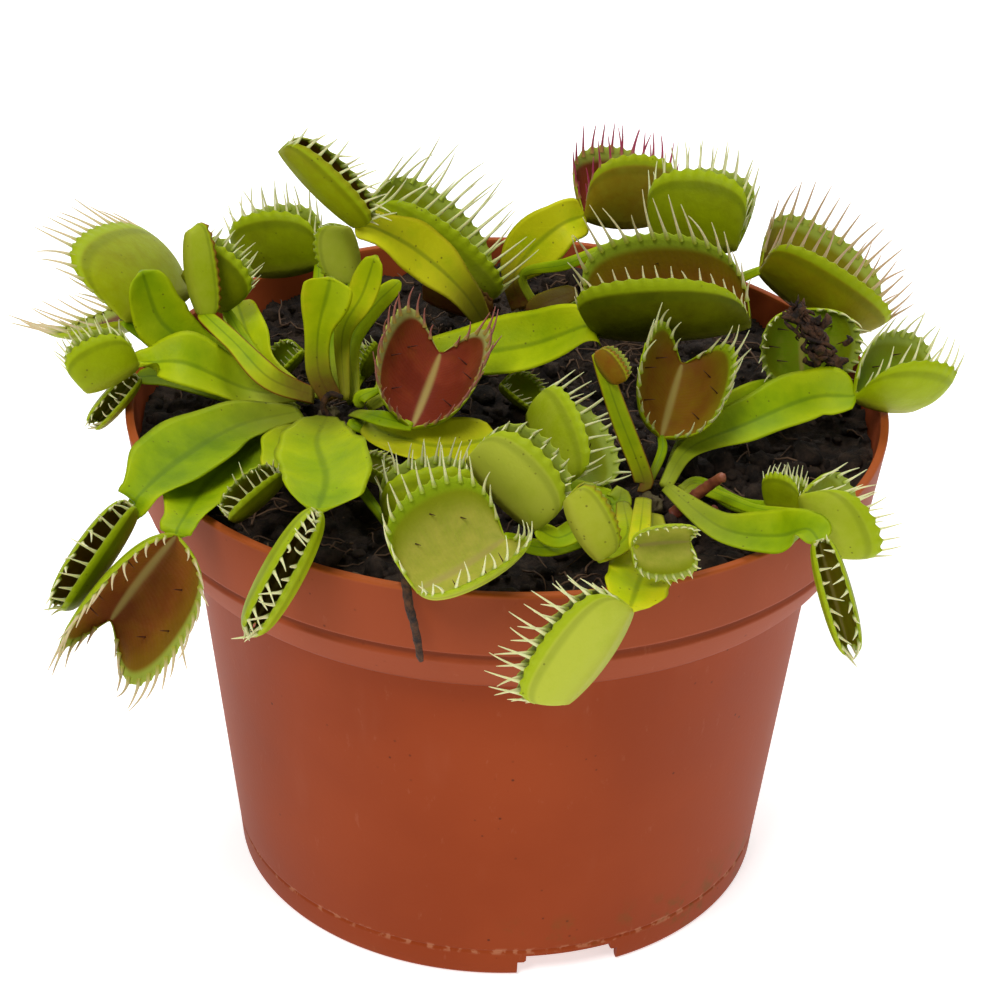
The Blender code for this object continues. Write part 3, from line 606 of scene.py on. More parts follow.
def margin_places(trap, count):
    """Angles round the margin at equal distances, one for each bristle."""
    angles = np.linspace(0.10, math.pi - 0.10, 400)
    margin = np.array([lobe_point(trap, a, 1, 1) for a in angles])
    run = np.concatenate([[0], np.cumsum(np.linalg.norm(np.diff(margin, axis=0), axis=1))])
    return np.interp((np.arange(count) + 0.6) / (count + 0.2) * run[-1], run, angles), run[-1]


def grow_trap(growth, joint, trap):
    axes = trap_axes(trap)
    _, run = margin_places(trap, 8)
    count = min(max(round(run / BRISTLE_SPACING), FEWEST_BRISTLES), MOST_BRISTLES)
    places, _ = margin_places(trap, count)
    spacing = np.diff(places).mean()
    rows = count * 6
    angles = np.linspace(0.03, math.pi - 0.03, rows + 1)
    grid = []
    columns = [(1, out) for out in np.linspace(1, 0, LOBE_COLUMNS + 1) ** 0.85]
    columns += [(-1, out) for out in (np.linspace(0, 1, LOBE_COLUMNS + 1) ** 0.85)[1:]]
    for angle in angles:
        near = np.min(np.abs(places - angle)) / spacing
        fringe = 0.6 / trap.lobe * (1 - min(near * 2, 1)) ** 1.3
        grid.append([lobe_point(trap, angle, out, side, fringe) for side, out in columns])
    grid = np.array(grid)
    normal = np.cross(np.gradient(grid, axis=0), np.gradient(grid, axis=1))
    normal /= np.linalg.norm(normal, axis=2)[..., None] + 1e-12
    if normal[rows // 2, LOBE_COLUMNS] @ [0, 0, 1] > 0:
        normal = -normal
    outs = np.array([out for _, out in columns])
    body = np.sin(angles)[:, None] ** 0.4
    thick = 0.30 + 0.30 * np.sqrt(1 - outs) + 0.55 * np.exp(-(outs * trap.lobe / 1.1) ** 2)
    thick = thick[None, :] * (0.35 + 0.65 * body)
    edge = np.minimum(1, np.sqrt(np.clip((1 - outs) * trap.lobe / 0.25, 0, 1)))[None, :]
    outer = grid + normal * thick[..., None] * np.maximum(edge, 0.55)[..., None]
    rings, marks = [], []
    for row, angle in enumerate(angles):
        rings.append([joint + p @ axes for p in [*grid[row], *outer[row][::-1]]])
        share = angle / math.pi
        marks.append([(out, share, 1, 1) for _, out in columns]
                     + [(out, share, 1, 0) for _, out in columns[::-1]])
    growth.ring_skin(rings, marks)
    return places, axes


def grow_bristles(name, joint, trap, places, axes, grown, rng):
    """Bristles on both margins, each lobe's as long as its share of full growth, and the trigger hairs."""
    points, faces, tips = [], [], []

    def add(route, radii, sides):
        made, skin = thread(route, radii, sides)
        faces.extend([tuple(i + len(points) for i in face) for face in skin])
        points.extend(made)
        tips.extend([row / (len(route) - 1) for row in range(len(route)) for _ in range(sides)])

    size = min(1.0, 0.55 + trap.length / 40)
    inward = 0.35 if trap.gape > 20 else 0.15
    for side, share_grown in zip((1, -1), grown):
        for angle in places if share_grown else ():
            base = lobe_point(trap, angle, 1.0, side)
            inner = lobe_point(trap, angle, 0.82, side)
            direction = unit(base - inner)
            reach = share_grown * trap.length * BRISTLE_LENGTH * math.sin(angle) ** 0.45
            reach *= rng.uniform(0.82, 1.12)
            sway = rng.normal(0, 0.13, 3)
            route = []
            for step in range(8):
                t = step / 7
                bend = direction + t * (inward * np.array([0, -0.35 * side, 0.6]) + sway)
                route.append(joint + (base - direction * BRISTLE_ROOT
                                      + unit(bend) * (reach + BRISTLE_ROOT) * t) @ axes)
            add(route, size * BRISTLE_RADII, 6)
        if trap.gape > 30 and trap.length > 9:
            for share, out in TRIGGER_PLACES:
                foot = lobe_point(trap, share * math.pi, out, side)
                aim = unit(np.array([0, -side * 0.8, 0.6]))
                hair = [joint + (foot + aim * TRIGGER_LENGTH * t) @ axes for t in (-0.05, 0.3, 0.65, 1)]
                add(hair, [0.13, 0.10, 0.08, 0.03], 5)
                for k in range(4 * 5):
                    tips[-1 - k] = TRIGGER_MARK
    mesh = bpy.data.meshes.new(name)
    mesh.from_pydata([p * MM for p in points], [], faces)
    mesh.attributes.new("reach", "FLOAT", "POINT").data.foreach_set("value", np.array(tips, np.float32))
    return mesh


def tint_mesh(mesh, tint):
    for mark, value in tint._asdict().items():
        mesh.attributes.new(f"tint_{mark}", "FLOAT", "POINT").data.foreach_set(
            "value", np.full(len(mesh.vertices), value, np.float32))


leaf_count = 0


def leaf(name, stalk, widths, face, trap=None, tint=Tint(), grown=(1, 1)):
    global leaf_count
    leaf_count += 1
    rng = np.random.default_rng(leaf_count)
    growth = Growth()
    route = [np.array(p, float) for p in stalk]
    grow_stalk(growth, route, widths, face, trap is not None, leaf_count)
    joint = route[-1]
    if trap:
        places, axes = grow_trap(growth, joint, trap)
    mesh = growth.mesh(name)
    tint_mesh(mesh, tint)
    whole = show(f"{name}_grown", mesh, leaf_skin)
    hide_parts(name)
    if trap and any(grown):
        fringe = grow_bristles(f"{name}_bristles", joint, trap, places, axes, grown, rng)
        tint_mesh(fringe, tint)
        show(f"{name}_bristles", fringe, bristle_skin)


leaf_skin = Finish("leaf_skin", Specular_IOR_Level=0.09, Subsurface_Weight=0.06, Subsurface_Scale=0.0012)
leaf_skin.set(Subsurface_Radius=(1.0, 1.0, 0.1))
across, along, lobe, inner = (leaf_skin.made(mark) for mark in Growth.MARKS)
blade_tint, edge_tint, outside_tint, warm_tint, inside_tint, rim_tint, root_tint, flush_tint = (
    leaf_skin.made(f"tint_{mark}") for mark in Tint._fields if mark != "bristle")
mottle = leaf_skin.cloud(2.6, 5, 0.65)
broad_mottle = leaf_skin.cloud(9, 3)
flecks = leaf_skin.specks(1.3).step(0.17, 0.09) * leaf_skin.cloud(6, 2).step(0.50, 0.62)

blade_age = blade_tint + (broad_mottle - 0.5) * 0.9 + (mottle - 0.5) * 0.35
blade_age = blade_age + across.step(0.35, 1.0) * 0.16 - 0.04
blade = leaf_skin.ramp(blade_age, [
    (0.0, (0.090, 0.190, 0.001)), (0.4, (0.260, 0.385, 0.001)), (0.8, (0.47, 0.56, 0.003)),
    (1.0, (0.62, 0.62, 0.008))])
blade = leaf_skin.blend((1 - across).step(0.86, 0.98) * 0.45, blade, (0.07, 0.15, 0.004))
blade = leaf_skin.blend(along.step(0.42, 0.02) * 0.55, blade, (0.30, 0.36, 0.03))
blade = leaf_skin.blend(along.step(0.55, 0.05) * (0.35 + mottle) * root_tint, blade, (0.24, 0.055, 0.030))
blade = leaf_skin.blend(across.step(0.80, 1.0) * edge_tint, blade, (0.26, 0.035, 0.012))
blade = leaf_skin.blend((1 - inner) * 0.35, blade, (0.24, 0.30, 0.02))
blade = leaf_skin.blend(flecks * 0.65, blade, (0.07, 0.045, 0.008))

veins = leaf_skin.add("ShaderNodeTexWave", {"wave_type": "BANDS", "bands_direction": "X"}, {
    "Vector": leaf_skin.add("ShaderNodeCombineXYZ", None, {"X": along + mottle * 0.02, "Y": across * 0.1}),
    "Scale": 13.0, "Distortion": 1.6, "Detail": 3.0}, "Fac")
outside = leaf_skin.ramp(outside_tint + (mottle - 0.5) * 0.30 + (broad_mottle - 0.5) * 0.35, [
    (0.0, (0.46, 0.51, 0.045)), (0.33, (0.33, 0.42, 0.001)), (0.66, (0.195, 0.225, 0.001)),
    (1.0, (0.085, 0.088, 0.001))])
outside = leaf_skin.blend(warm_tint * (0.5 + mottle * 0.6), outside, (0.26, 0.085, 0.004))
outside = leaf_skin.blend(across.step(0.30, 0.05) * 0.35, outside, (0.32, 0.30, 0.03))
# Painted shade: a darker band on each lobe's outer face, just inside the pale rim band, under the rim's
# bulge.
outside = leaf_skin.blend(
    across.step(0.74, 0.82) * across.step(0.90, 0.85) * 0.26, outside, (0.06, 0.10, 0.002))
outside = leaf_skin.blend(across.step(0.87, 0.92) * 0.85, outside, (0.36, 0.46, 0.006))
outside = leaf_skin.blend(across.step(0.90, 1.0) * edge_tint, outside, (0.26, 0.035, 0.012))
outside = leaf_skin.blend(flecks * 0.6, outside, (0.05, 0.035, 0.004))

inside = leaf_skin.ramp(inside_tint + (mottle - 0.5) * 0.28, [
    (0.0, (0.47, 0.45, 0.060)), (0.2, (0.20, 0.31, 0.004)), (0.45, (0.24, 0.18, 0.005)),
    (0.7, (0.22, 0.095, 0.005)), (1.0, (0.225, 0.032, 0.011))])
inside = leaf_skin.blend(veins * mottle * 0.14, inside, (0.34, 0.15, 0.08))
inside = leaf_skin.blend(broad_mottle.step(0.42, 0.62) * inside_tint * 0.55, inside, (0.11, 0.012, 0.005))
inside = leaf_skin.blend(across.step(0.42, 0.84) * (1.05 - inside_tint) * 0.9, inside, (0.25, 0.29, 0.003))
inside = leaf_skin.blend(across.step(0.08, 0.01) * 0.75, inside, (0.42, 0.34, 0.09))
rim = leaf_skin.blend(rim_tint, (0.30, 0.42, 0.008), (0.48, 0.46, 0.17))
inside = leaf_skin.blend(across.step(0.80, 0.90), inside, rim)
trap_face = leaf_skin.blend(inner, outside, inside)
skin = leaf_skin.blend(lobe, blade, trap_face)
skin = leaf_skin.blend(flush_tint * (0.75 + 0.25 * mottle), skin, (0.105, 0.012, 0.012))
leaf_skin.set(Base_Color=skin, Roughness=0.36 + 0.25 * mottle)
leaf_skin.relief(mottle * 0.8 + leaf_skin.cloud(0.5, 3) * 0.30, 0.22, 0.7)

bristle_skin = Finish("bristle_skin", Roughness=0.4, Specular_IOR_Level=0.3, Subsurface_Weight=0.1,
                      Subsurface_Scale=0.0008)
reach = bristle_skin.made("reach")
pale = bristle_skin.blend(reach.step(0.0, 0.35), (0.36, 0.46, 0.02), (0.78, 0.78, 0.40))
flushed = bristle_skin.blend(reach.step(0.0, 0.4), (0.42, 0.26, 0.06), (0.40, 0.030, 0.090))
bristle_tone = bristle_skin.blend(bristle_skin.made("tint_bristle"), pale, flushed)
bristle_skin.set(Base_Color=bristle_skin.blend(reach.step(1.4, 1.6), bristle_tone, (0.06, 0.02, 0.015)))


# The left rosette
leaf("leaf_far_left_upper", stalk=[(-33, -2, 78.5), (-45, 5, 80.5), (-55, 8.5, 83.5), (-61, 5, 90)],
     widths=(1.5, 4.5, 3.5, 1.5), face=(0, -0.5, 0.8), trap=Trap(22, -12, -79, 22, 17, 60, 0.4, 0.39),
     tint=Tint(blade=0.3, outside=0.38, warm=0.2, inside=0.95, bristle=0.3))
leaf("leaf_far_left_blade", stalk=[(-32, -1, 81.5), (-46.5, 4, 85), (-54.5, 4, 90), (-57.5, 4, 99)],
     widths=(1.5, 4.5, 9.5, 3.5), face=(0.35, -0.85, 0.45), tint=Tint(blade=0.5))
leaf("leaf_left_wide",
     stalk=[(-33, -3, 81.5), (-41, -2, 82), (-50, -4.5, 87.5), (-55.5, -4.5, 87.5), (-57, -9.5, 90)],
     widths=(2.5, 7.5, 10.5, 5, 1.5), face=(0, -0.5, 0.85),
     trap=Trap(-105, -24, 11, 9, 8, 28, 0.19, 0.32), tint=Tint(blade=0.55, outside=0.42))
leaf("leaf_left_pointed", stalk=[(-34.5, -4, 78), (-42, -2, 80.5), (-53, -2, 83.5), (-58, -3, 84)],
     widths=(2, 4.5, 4, 1.2), face=(0, -0.4, 0.9), trap=Trap(-118, -43, -52, 9, 7, 18, 0.25, 0.37),
     tint=Tint(outside=0.55, warm=0.3))
leaf("leaf_left_narrow", stalk=[(-30.5, -2, 81), (-37, -6, 86), (-43, 0, 89), (-48.5, 6, 91)],
     widths=(3, 4.5, 3.5, 2), face=(0.3, -0.6, 0.7), trap=Trap(-26, 70, 82, 13, 4, 12, 0.19, 0.34),
     tint=Tint(blade=0.6, edge=0.9, outside=0.22, root=0.6), grown=(0, 0))
leaf("leaf_left_dark", stalk=[(-34, 1.5, 80), (-39.5, 5.5, 82.5), (-45.5, 13.5, 88)],
     widths=(1.5, 2.5, 1.5), face=(0, -0.5, 0.8), trap=Trap(-83, 43, 10, 9, 9, 26, 0.25, 0.44),
     tint=Tint(outside=0.66, inside=0.25))
leaf("leaf_left_ragged", stalk=[(-31, 0.5, 79), (-39.5, 7, 81), (-42, 12, 84.5), (-44.5, 21.5, 85.5)],
     widths=(2, 6, 7, 3.5), face=(0, -0.8, 0.6), tint=Tint(blade=0.65))
leaf("leaf_left_shaded", stalk=[(-30, 3, 78.5), (-35.5, 4.5, 79), (-37.5, 13, 76.5)],
     widths=(1.2, 1.5, 1.2), face=(0, -0.5, 0.8), trap=Trap(82, 48, 41, 6, 5, 45, 0.19, 0.34),
     tint=Tint(outside=0.5, inside=0.25))
leaf("leaf_back_left", stalk=[(-28, 2, 79), (-31, 14, 82), (-31.5, 28, 90)], widths=(1.5, 2.5, 1.5),
     face=(0, -0.5, 0.8), trap=Trap(-75, -15, 12, 13, 11, 32, 0.27, 0.33),
     tint=Tint(outside=0.60, inside=0.25))
leaf("leaf_centre_left_pale", stalk=[(-27.5, 0, 80), (-28.5, 10, 86.5), (-25, 16, 92.5)],
     widths=(2, 2.5, 1.2), face=(0, -0.9, 0.4), trap=Trap(-55, 79, -159, 9, 6, 15, 0.07, 0.29),
     tint=Tint(outside=0.05, inside=0.1), grown=(0.2, 0.2))
leaf("leaf_upright_broad",
     stalk=[(-27.5, -3, 81), (-29.5, -4, 86.5), (-29.5, -4, 93.5), (-28, -5, 100.5), (-27.5, -5, 103)],
     widths=(3.5, 4, 4.5, 8.5, 3.5), face=(0, -1, 0.3), tint=Tint(blade=0.7, root=0.9))
leaf("leaf_upright_curling", stalk=[(-25.5, -2, 80.5), (-26, 1, 90.5), (-23, 2, 97), (-21, 2, 103.5)],
     widths=(1.5, 3, 5, 2), face=(-0.2, -0.9, 0.4), tint=Tint(blade=0.75, root=0.4))
leaf("leaf_upright_narrow", stalk=[(-24, 0, 79), (-25, 6, 86.5), (-21.5, 8, 92), (-17.5, 9, 96)],
     widths=(1.5, 3.5, 3.5, 1.5), face=(-0.2, -0.9, 0.4), tint=Tint(blade=0.65))
leaf("leaf_centre_shaded", stalk=[(-25, 1.5, 78.5), (-24.5, 6, 78.5), (-23.5, 10, 78.5)],
     widths=(1.2, 1.5, 1.2), face=(0, -0.5, 0.8), trap=Trap(26, 21, -25, 5, 4, 57, 0.22, 0.28),
     tint=Tint(outside=0.6, inside=0.25))
leaf("leaf_small_right", stalk=[(-23, -2.5, 79.5), (-23, -3, 81.5), (-20, -2, 82.5)],
     widths=(1.2, 2.5, 1.5), face=(0, -0.5, 0.8), tint=Tint(blade=0.4))
leaf("leaf_centre_largest",
     stalk=[(-22, -1, 78.5), (-17, 2, 82), (-9.5, 6, 84), (3.5, 4, 88), (12, 1, 93), (14, 2.5, 91)],
     widths=(1.5, 6, 9, 11, 7, 2), face=(0, -0.6, 0.8), trap=Trap(101, 11, 14, 24, 17, 38, 0.25, 0.05),
     tint=Tint(blade=0.62, outside=0.92, inside=0.68, rim=0.1, bristle=0.15), grown=(1, 0.3))
leaf("leaf_centre_maroon", stalk=[(-24, -3.5, 79), (-20, -14, 84), (-14.5, -15, 83)],
     widths=(2.5, 3, 1.5), face=(0, -0.5, 0.8), trap=Trap(16, 23, 12, 15, 12, 84, 0.23, 0.51),
     tint=Tint(blade=0.4, outside=0.5, inside=1.0, rim=0.75, bristle=0.8))
leaf("leaf_small_low", stalk=[(-21.5, -5, 78), (-24, -8, 79.5), (-21, -8.5, 78)], widths=(1.5, 2, 1.5),
     face=(0, -0.5, 0.8), tint=Tint(blade=0.3))
leaf("leaf_centre_flat", stalk=[(-21.5, -8, 80), (-19, -10.5, 79.5), (-10, -15.5, 80), (-1.5, -14, 81)],
     widths=(2.5, 7.5, 9, 3.5), face=(0, -0.45, 0.9), tint=Tint(blade=0.95))
leaf("leaf_tiny_pale", stalk=[(-22.5, -9.5, 78), (-22, -14.5, 77.5), (-18, -26, 79.5)],
     widths=(1.2, 1.5, 1.2), face=(0, -0.5, 0.8), trap=Trap(-101, 38, -34, 5, 4, 46, 0.17, 0.35),
     tint=Tint(outside=0.1, inside=0.1, rim=0.8))
leaf("leaf_front_hidden", stalk=[(-24, -9, 78.5), (-23.5, -22.5, 79.5), (-17.5, -36, 78)],
     widths=(1.2, 2, 1.2), face=(0, -0.5, 0.8), trap=Trap(81, 1, -12, 12, 10, 29, 0.24, 0.45),
     tint=Tint(outside=0.3, inside=0.1))
leaf("leaf_front_left_spoon",
     stalk=[(-28, -8, 80.5), (-28.5, -24, 85), (-26, -41, 88.5), (-26.5, -51.5, 89)],
     widths=(3.5, 11, 14, 1.5), face=(0, -0.55, 0.8), trap=Trap(-128, -54, -46, 18, 14, 10, 0.08, 0.22),
     tint=Tint(blade=0.5, outside=0.33, inside=0.5))
leaf("leaf_front_left_yellow",
     stalk=[(-31, -8.5, 79.5), (-33.5, -17, 81), (-34, -24, 82), (-33, -36, 85)], widths=(2, 7, 6, 1.2),
     face=(0, -0.5, 0.85), trap=Trap(-123, -30, -25, 9, 7, 22, 0.15, 0.3),
     tint=Tint(blade=0.7, outside=0.75))
leaf("leaf_front_left_lower",
     stalk=[(-33, -6.5, 78.5), (-38, -13, 79), (-44, -28, 80.5), (-46.5, -46.5, 83.5), (-47, -49.5, 83)],
     widths=(3, 9, 13.5, 5.5, 1.2), face=(0, -0.5, 0.85),
     trap=Trap(-94, -55, -92, 17, 13, 70, 0.13, 0.6),
     tint=Tint(blade=0.42, outside=0.3, inside=0.8, bristle=0.3))
leaf("leaf_front_left_upper",
     stalk=[(-32.5, -5.5, 80), (-41, -14, 82), (-48.5, -30, 84.5), (-53, -41.5, 85), (-54, -41, 82)],
     widths=(3, 8.5, 13.5, 6, 1.2), face=(0, -0.5, 0.85),
     trap=Trap(-131, -45, -34, 16, 12, 12, 0.19, 0.31), tint=Tint(blade=0.38, outside=0.72, inside=0.5))

# The right rosette, nearest the front
leaf("leaf_far_right",
     stalk=[(24, -26, 80), (28, -17, 81.5), (37, -12, 83.5), (47, -6, 85), (54, -6, 85.5)],
     widths=(2, 3.5, 8, 9.5, 2), face=(0, -0.5, 0.85), trap=Trap(61, -21, 6, 13, 12, 46, 0.11, 0.33),
     tint=Tint(blade=0.45, outside=0.36, inside=0.22))
leaf("leaf_right_middle",
     stalk=[(24, -23.5, 79), (28, -12, 81), (36.5, -3, 81.5), (44, 4, 81.5), (47, 8, 81.5)],
     widths=(1.5, 2.5, 6.5, 4.5, 1.5), face=(0, -0.5, 0.85),
     trap=Trap(-11, 79, -1, 11, 10, 107, 0.05, 0.2), tint=Tint(blade=0.4, outside=0.4, inside=0.2))
leaf("leaf_right_brown", stalk=[(21.5, -24, 79), (23.5, -21, 83), (23.5, -18, 84)],
     widths=(1.2, 1.5, 1.2), face=(0, -0.5, 0.8), trap=Trap(15, 26, 19, 14, 12, 72, 0.33, 0.47),
     tint=Tint(outside=0.5, warm=0.4, inside=0.66, rim=0.0))
leaf("leaf_upright_bud", stalk=[(20, -27, 81), (20.5, -27, 82), (16.5, -27, 92.5), (13, -26, 102)],
     widths=(3, 3, 3, 2), face=(0.1, -1, 0.2), trap=Trap(116, -49, -15, 5, 3, 30, 0.15, 0.31),
     tint=Tint(blade=0.5, edge=0.8, outside=0.5, warm=1.0, root=1.0, flush=0.15), grown=(0, 0))
leaf("leaf_right_small", stalk=[(26.5, -25, 79), (29.5, -22, 78.5), (35.5, -28, 78), (43.5, -33, 81)],
     widths=(1.5, 2, 3, 1.2), face=(0, -0.5, 0.85), trap=Trap(-47, -16, 25, 6, 5, 42, 0.19, 0.3),
     tint=Tint(blade=0.3, outside=0.5, inside=0.25))
leaf("leaf_right_low",
     stalk=[(27, -27, 79), (29.5, -25, 79), (36.5, -33, 80.5), (43, -40, 83), (47, -44.5, 80)],
     widths=(1.5, 2, 2, 2.5, 1.2), face=(0, -0.5, 0.85), trap=Trap(-78, 65, 22, 10, 10, 73, 0.46, 0.16),
     tint=Tint(blade=0.4, outside=0.18, inside=0.25))
leaf("leaf_right_hanging",
     stalk=[(24, -30, 82), (31.5, -41.5, 82), (39, -46, 83.5), (43, -49, 86.5), (44.5, -52.5, 86.5)],
     widths=(2, 5.5, 8, 6, 1.2), face=(0, -0.5, 0.85), trap=Trap(138, -63, 38, 15, 8, 22, 0.25, 0.24),
     tint=Tint(blade=0.4, outside=0.5, inside=0.4))
leaf("leaf_front_hanging", stalk=[(22, -33, 79), (20.5, -48, 80.5), (18.5, -61, 83), (17.5, -66, 83)],
     widths=(3, 8.5, 9.5, 1.5), face=(0, -0.6, 0.8), trap=Trap(-102, -59, -2, 17, 10, 9, 0.22, 0.35),
     tint=Tint(blade=0.9, outside=0.0, inside=0.2, rim=0.8))
leaf("leaf_front_pale", stalk=[(20.5, -32, 81), (19, -52.5, 87), (18, -57.5, 88)], widths=(2.5, 3, 1.2),
     face=(0, -0.5, 0.85), trap=Trap(78, 0, 78, 8, 6, 79, 0.2, 0.29),
     tint=Tint(blade=0.9, outside=0.0, inside=0.05, rim=0.4), grown=(0.6, 0.6))
leaf("leaf_front_folded", stalk=[(17.5, -31.5, 80), (17.5, -47, 83.5), (13.5, -57.5, 86)],
     widths=(2, 4, 1.5), face=(0, -0.5, 0.85), trap=Trap(-80, 61, 23, 10, 5, 12, 0.1, 0.34),
     tint=Tint(blade=0.7, edge=0.5, outside=0.12, warm=0.15), grown=(0, 0))
leaf("leaf_centre_smooth", stalk=[(15, -30, 79.5), (12.5, -43, 84), (8, -46.5, 82.5), (4.5, -46.5, 84)],
     widths=(1.5, 3.5, 3.5, 1.5), face=(0, -0.5, 0.85), trap=Trap(-68, 41, 9, 14, 11, 20, 0.12, 0.19),
     tint=Tint(outside=0.0, inside=0.1), grown=(0.3, 0.3))
leaf("leaf_front_centre", stalk=[(15, -32, 78.5), (12.5, -38, 78.5), (6, -47, 81), (0, -53, 86)],
     widths=(1.5, 3.5, 3.5, 1.5), face=(0, -0.5, 0.85),
     trap=Trap(-124, -15, -15, 15, 13, 89, 0.24, 0.25), tint=Tint(outside=0.10, inside=0.03, rim=0.0))
leaf("leaf_centre_green", stalk=[(17.5, -28, 80.5), (16, -29.5, 78.5), (8.5, -28, 80.5)],
     widths=(2, 5, 1.5), face=(0, -0.5, 0.85), trap=Trap(-24, 28, 49, 14, 11, 64, 0.37, 0.14),
     tint=Tint(outside=0.22, inside=0.15))
leaf("leaf_seedling", stalk=[(16, -25.5, 78), (10, -11, 81), (3.5, 5, 76.5)], widths=(1.2, 1.2, 1.2),
     face=(0, -0.5, 0.85), trap=Trap(-99, 42, -44, 6, 5, 55, 0.21, 0.32),
     tint=Tint(outside=0.6, inside=0.25))

# The back rosette
leaf("leaf_back_red", stalk=[(2, 34, 79.5), (0.5, 32, 86), (3, 32, 91), (8, 32, 96), (12, 35, 96.5)],
     widths=(3.5, 4, 9.5, 8, 1.2), face=(-0.1, -0.9, 0.4),
     trap=Trap(62, -14, -13, 14, 13, 45, 0.36, 0.3),
     tint=Tint(blade=0.95, outside=0.22, warm=0.8, inside=1.0, bristle=1.0, root=0.9))
leaf("leaf_back_green", stalk=[(6, 31, 79), (2, 29, 88), (9, 25.5, 92), (16, 26, 95), (23, 24, 98)],
     widths=(1.5, 1.5, 2, 1.5, 1.2), face=(0, -0.9, 0.4), trap=Trap(110, 4, -20, 14, 13, 33, 0.27, 0.4),
     tint=Tint(outside=0.56, inside=0.2))
leaf("leaf_back_right", stalk=[(6, 32, 78.5), (15, 30, 83.5), (31.5, 28, 86.5), (40.5, 22, 93.5)],
     widths=(1.5, 2.5, 2.5, 1.5), face=(0, -0.6, 0.8), trap=Trap(85, -35, 2, 20, 13, 63, 0.39, 0.29),
     tint=Tint(outside=0.50, warm=0.45, inside=0.5, bristle=0.45))
leaf("leaf_back_maroon_blade", stalk=[(3.5, 29.5, 79.5), (5, 28, 83), (11, 28, 86)],
     widths=(1.5, 4, 3.5), face=(0, -0.8, 0.6), tint=Tint(blade=0.2, flush=0.85, root=1.0))
leaf("leaf_back_open", stalk=[(-4, 32, 79.5), (-5.5, 33, 80.5)], widths=(2, 1.5), face=(0, -0.6, 0.8),
     trap=Trap(-99, 44, 2, 26, 13, 72, 0.07, 0.05), tint=Tint(outside=0.27, inside=0.16))
leaf("leaf_back_maroon_bud", stalk=[(-3, 30.5, 79), (-3.5, 26, 82)], widths=(3.5, 3),
     face=(0, -0.6, 0.8), trap=Trap(-89, 17, -11, 11, 5, 12, 0.12, 0.33),
     tint=Tint(outside=0.6, flush=1.0), grown=(0, 0))
leaf("leaf_back_tall",
     stalk=[(-2.5, 25, 78), (-7.5, 13, 92.5), (-14.5, 11.5, 100), (-21, 9, 105), (-24.5, 9, 105.5)],
     widths=(2.5, 5.5, 9, 5.5, 1.5), face=(0.1, -0.8, 0.6),
     trap=Trap(-94, 48, -38, 17, 9, 12, 0.1, 0.19),
     tint=Tint(blade=1.0, edge=0.25, outside=0.42, warm=0.25, inside=0.78, root=0.4))

# --------------------------------------------------------------------------------------------------
# The crowns and the old growth: short brown-green mounds that the leaves rise from, two red stalks cut
# off over the peat, a hooked dry one, a twig that hangs over the rim and a dead, crumpled leaf held in
# a trap. All are plain plant tissue.
STALK_SIDES = 10
CRUMPLED = ((44.2, -1.6, 98.6), (50.0, -1.6, 88.4))
SHREDS = 90


def raise_crown(name, place, rng):
    work = bmesh.new()
    bmesh.ops.create_icosphere(work, subdivisions=4, radius=1.0)
    offset = Vector(rng.uniform(-50, 50, 3))
    for vertex in work.verts:
        scale = 1 + 0.35 * noise.fractal(vertex.co * 2.2 + offset, 0.8, 2.0, 4)
        vertex.co = Vector((vertex.co.x * 1.8 * scale, vertex.co.y * 1.8 * scale, vertex.co.z * 2.0 * scale))
        vertex.co = (vertex.co + Vector((*place, 78.0))) * MM
    mesh = bpy.data.meshes.new(name)
    work.to_mesh(mesh)
    work.free()
    crown = show(name, mesh, crown_tissue)
    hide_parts(name)


def dry_stalk(name, route, radius, finish, rng):
    """A shrunken, uneven stalk with a narrowed end, along a smooth line through the route."""
    steps = 26
    centres = [along_curve(route, step / steps) for step in range(steps + 1)]
    radii = [radius * (1 - 0.3 * step / steps) * (1 + 0.03 * math.sin(2.1 * step))
             for step in range(steps + 1)]
    radii[-1] *= 0.6
    points, faces = thread(centres, radii, STALK_SIDES)
    points = [p + Vector(rng.normal(0, 0.05 * radius, 3)) for p in points]
    mesh = bpy.data.meshes.new(name)
    mesh.from_pydata([p * MM for p in points], [], faces)
    stalk = show(f"{name}_dried", mesh, finish)
    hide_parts(name)


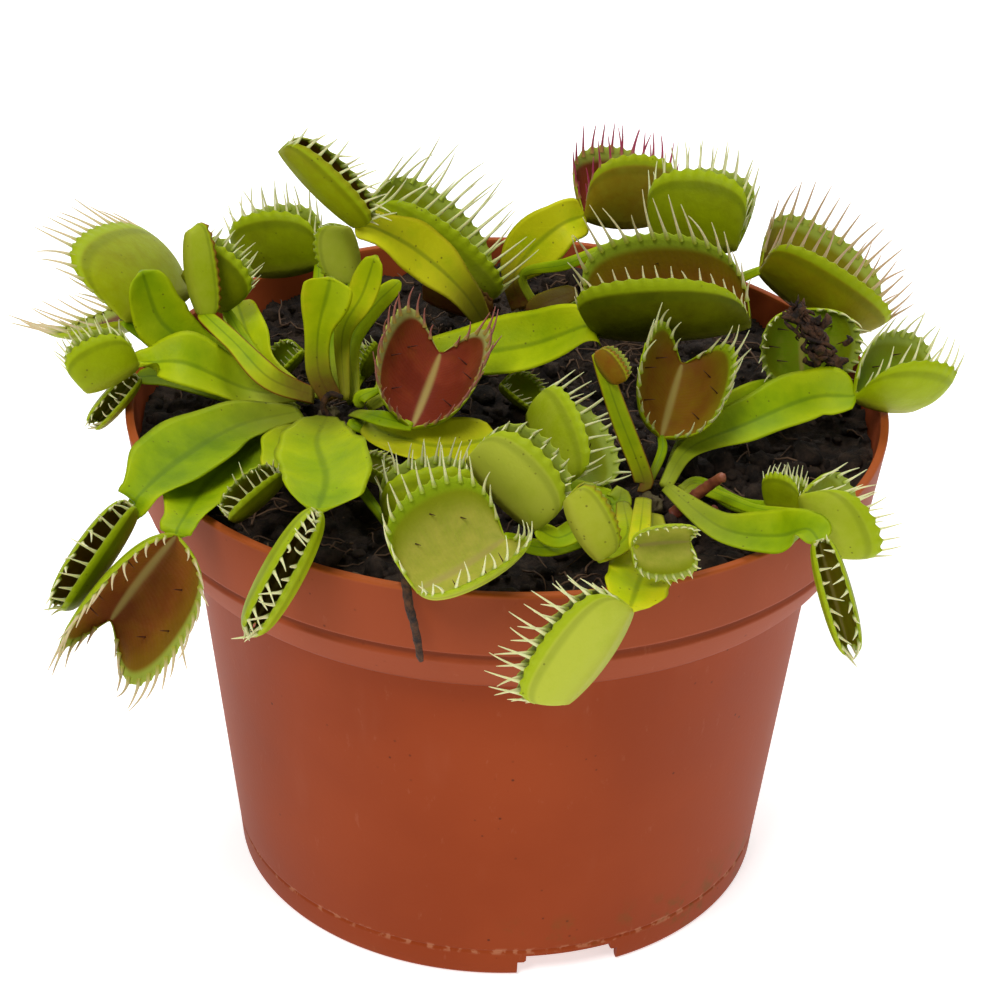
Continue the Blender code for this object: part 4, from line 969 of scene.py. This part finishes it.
def crumple(rng):
    """The dead leaf: ribbons and shreds of dry skin gathered along one line."""
    low, high = Vector(CRUMPLED[1]), Vector(CRUMPLED[0])
    points, faces = [], []
    for number in range(SHREDS):
        centre = low.lerp(high, rng.uniform(0, 1)) + Vector((rng.normal(0, 1.1), rng.normal(0, 0.7), 0))
        heading = ((high - low).normalized() + Vector(rng.normal(0, 0.45, 3))).normalized()
        length = rng.uniform(2.0, 5.0)
        route = [centre + heading * length * (t - 0.5)
                 + Vector((0.5 * math.sin(5 * t + number), 0.5 * math.cos(4 * t), 0))
                 for t in np.linspace(0, 1, 7)]
        wide = rng.uniform(0.15, 0.55) if number % 3 else rng.uniform(0.5, 0.9)
        made, skin = thread(route, wide * np.array([0.4, 0.9, 1, 0.8, 1, 0.7, 0.15]), 6)
        faces += [tuple(i + len(points) for i in face) for face in skin]
        points += [p * MM for p in made]
    mesh = bpy.data.meshes.new("dead_leaf")
    mesh.from_pydata(points, [], faces)
    shreds = show("dead_leaf_shreds", mesh, dead_skin)
    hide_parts("dead_leaf")


crown_tissue = Finish("crown_tissue", Roughness=0.7)
crown_tissue.set(Base_Color=crown_tissue.blend(
    crown_tissue.cloud(1.2, 4), (0.035, 0.022, 0.010), (0.17, 0.13, 0.040)))
crown_tissue.relief(crown_tissue.cloud(0.8, 5, 0.7), 0.5, 1.0)

red_stalk = Finish("red_stalk", Roughness=0.5)
flesh = red_stalk.cloud(3.0, 4)
red_stalk.set(Base_Color=red_stalk.blend(flesh.step(0.3, 0.7), (0.13, 0.020, 0.012), (0.30, 0.085, 0.035)))
red_stalk.relief(red_stalk.cloud(0.7, 4), 0.25, 0.8)

dead_skin = Finish("dead_skin", Roughness=0.85)
shade = dead_skin.cloud(1.4, 4, 0.7)
dead_skin.set(Base_Color=dead_skin.blend(shade.step(0.35, 0.7), (0.012, 0.005, 0.003), (0.10, 0.038, 0.012)))
dead_skin.relief(dead_skin.cloud(0.6, 4), 0.3, 1.0)

growth_rng = np.random.default_rng(23)
for side, place in CROWNS.items():
    raise_crown(f"crown_{side}", place, growth_rng)
dry_stalk("stub_red", [(25.2, -30.9, 78.0), (28.5, -31.6, 82), (32, -34, 86.5)], 1.05,
          red_stalk, growth_rng)
dry_stalk("stub_short", [(28.6, -31.8, 78.0), (31, -35.2, 81.5)], 0.95,
          red_stalk, growth_rng)
dry_stalk("stub_hooked", [(-26.5, -6, 78.0), (-28.7, -6, 81), (-27.7, -6, 83.5), (-25.6, -6, 83)], 0.62,
          dead_skin, growth_rng)
dry_stalk("twig_on_rim", [(-13.9, -56.5, 82), (-13.6, -59.6, 82), (-13.1, -61.3, 79.5),
                          (-12.3, -61.2, 76), (-11.4, -60.6, 70)], 0.75,
          dead_skin, growth_rng)
crumple(growth_rng)
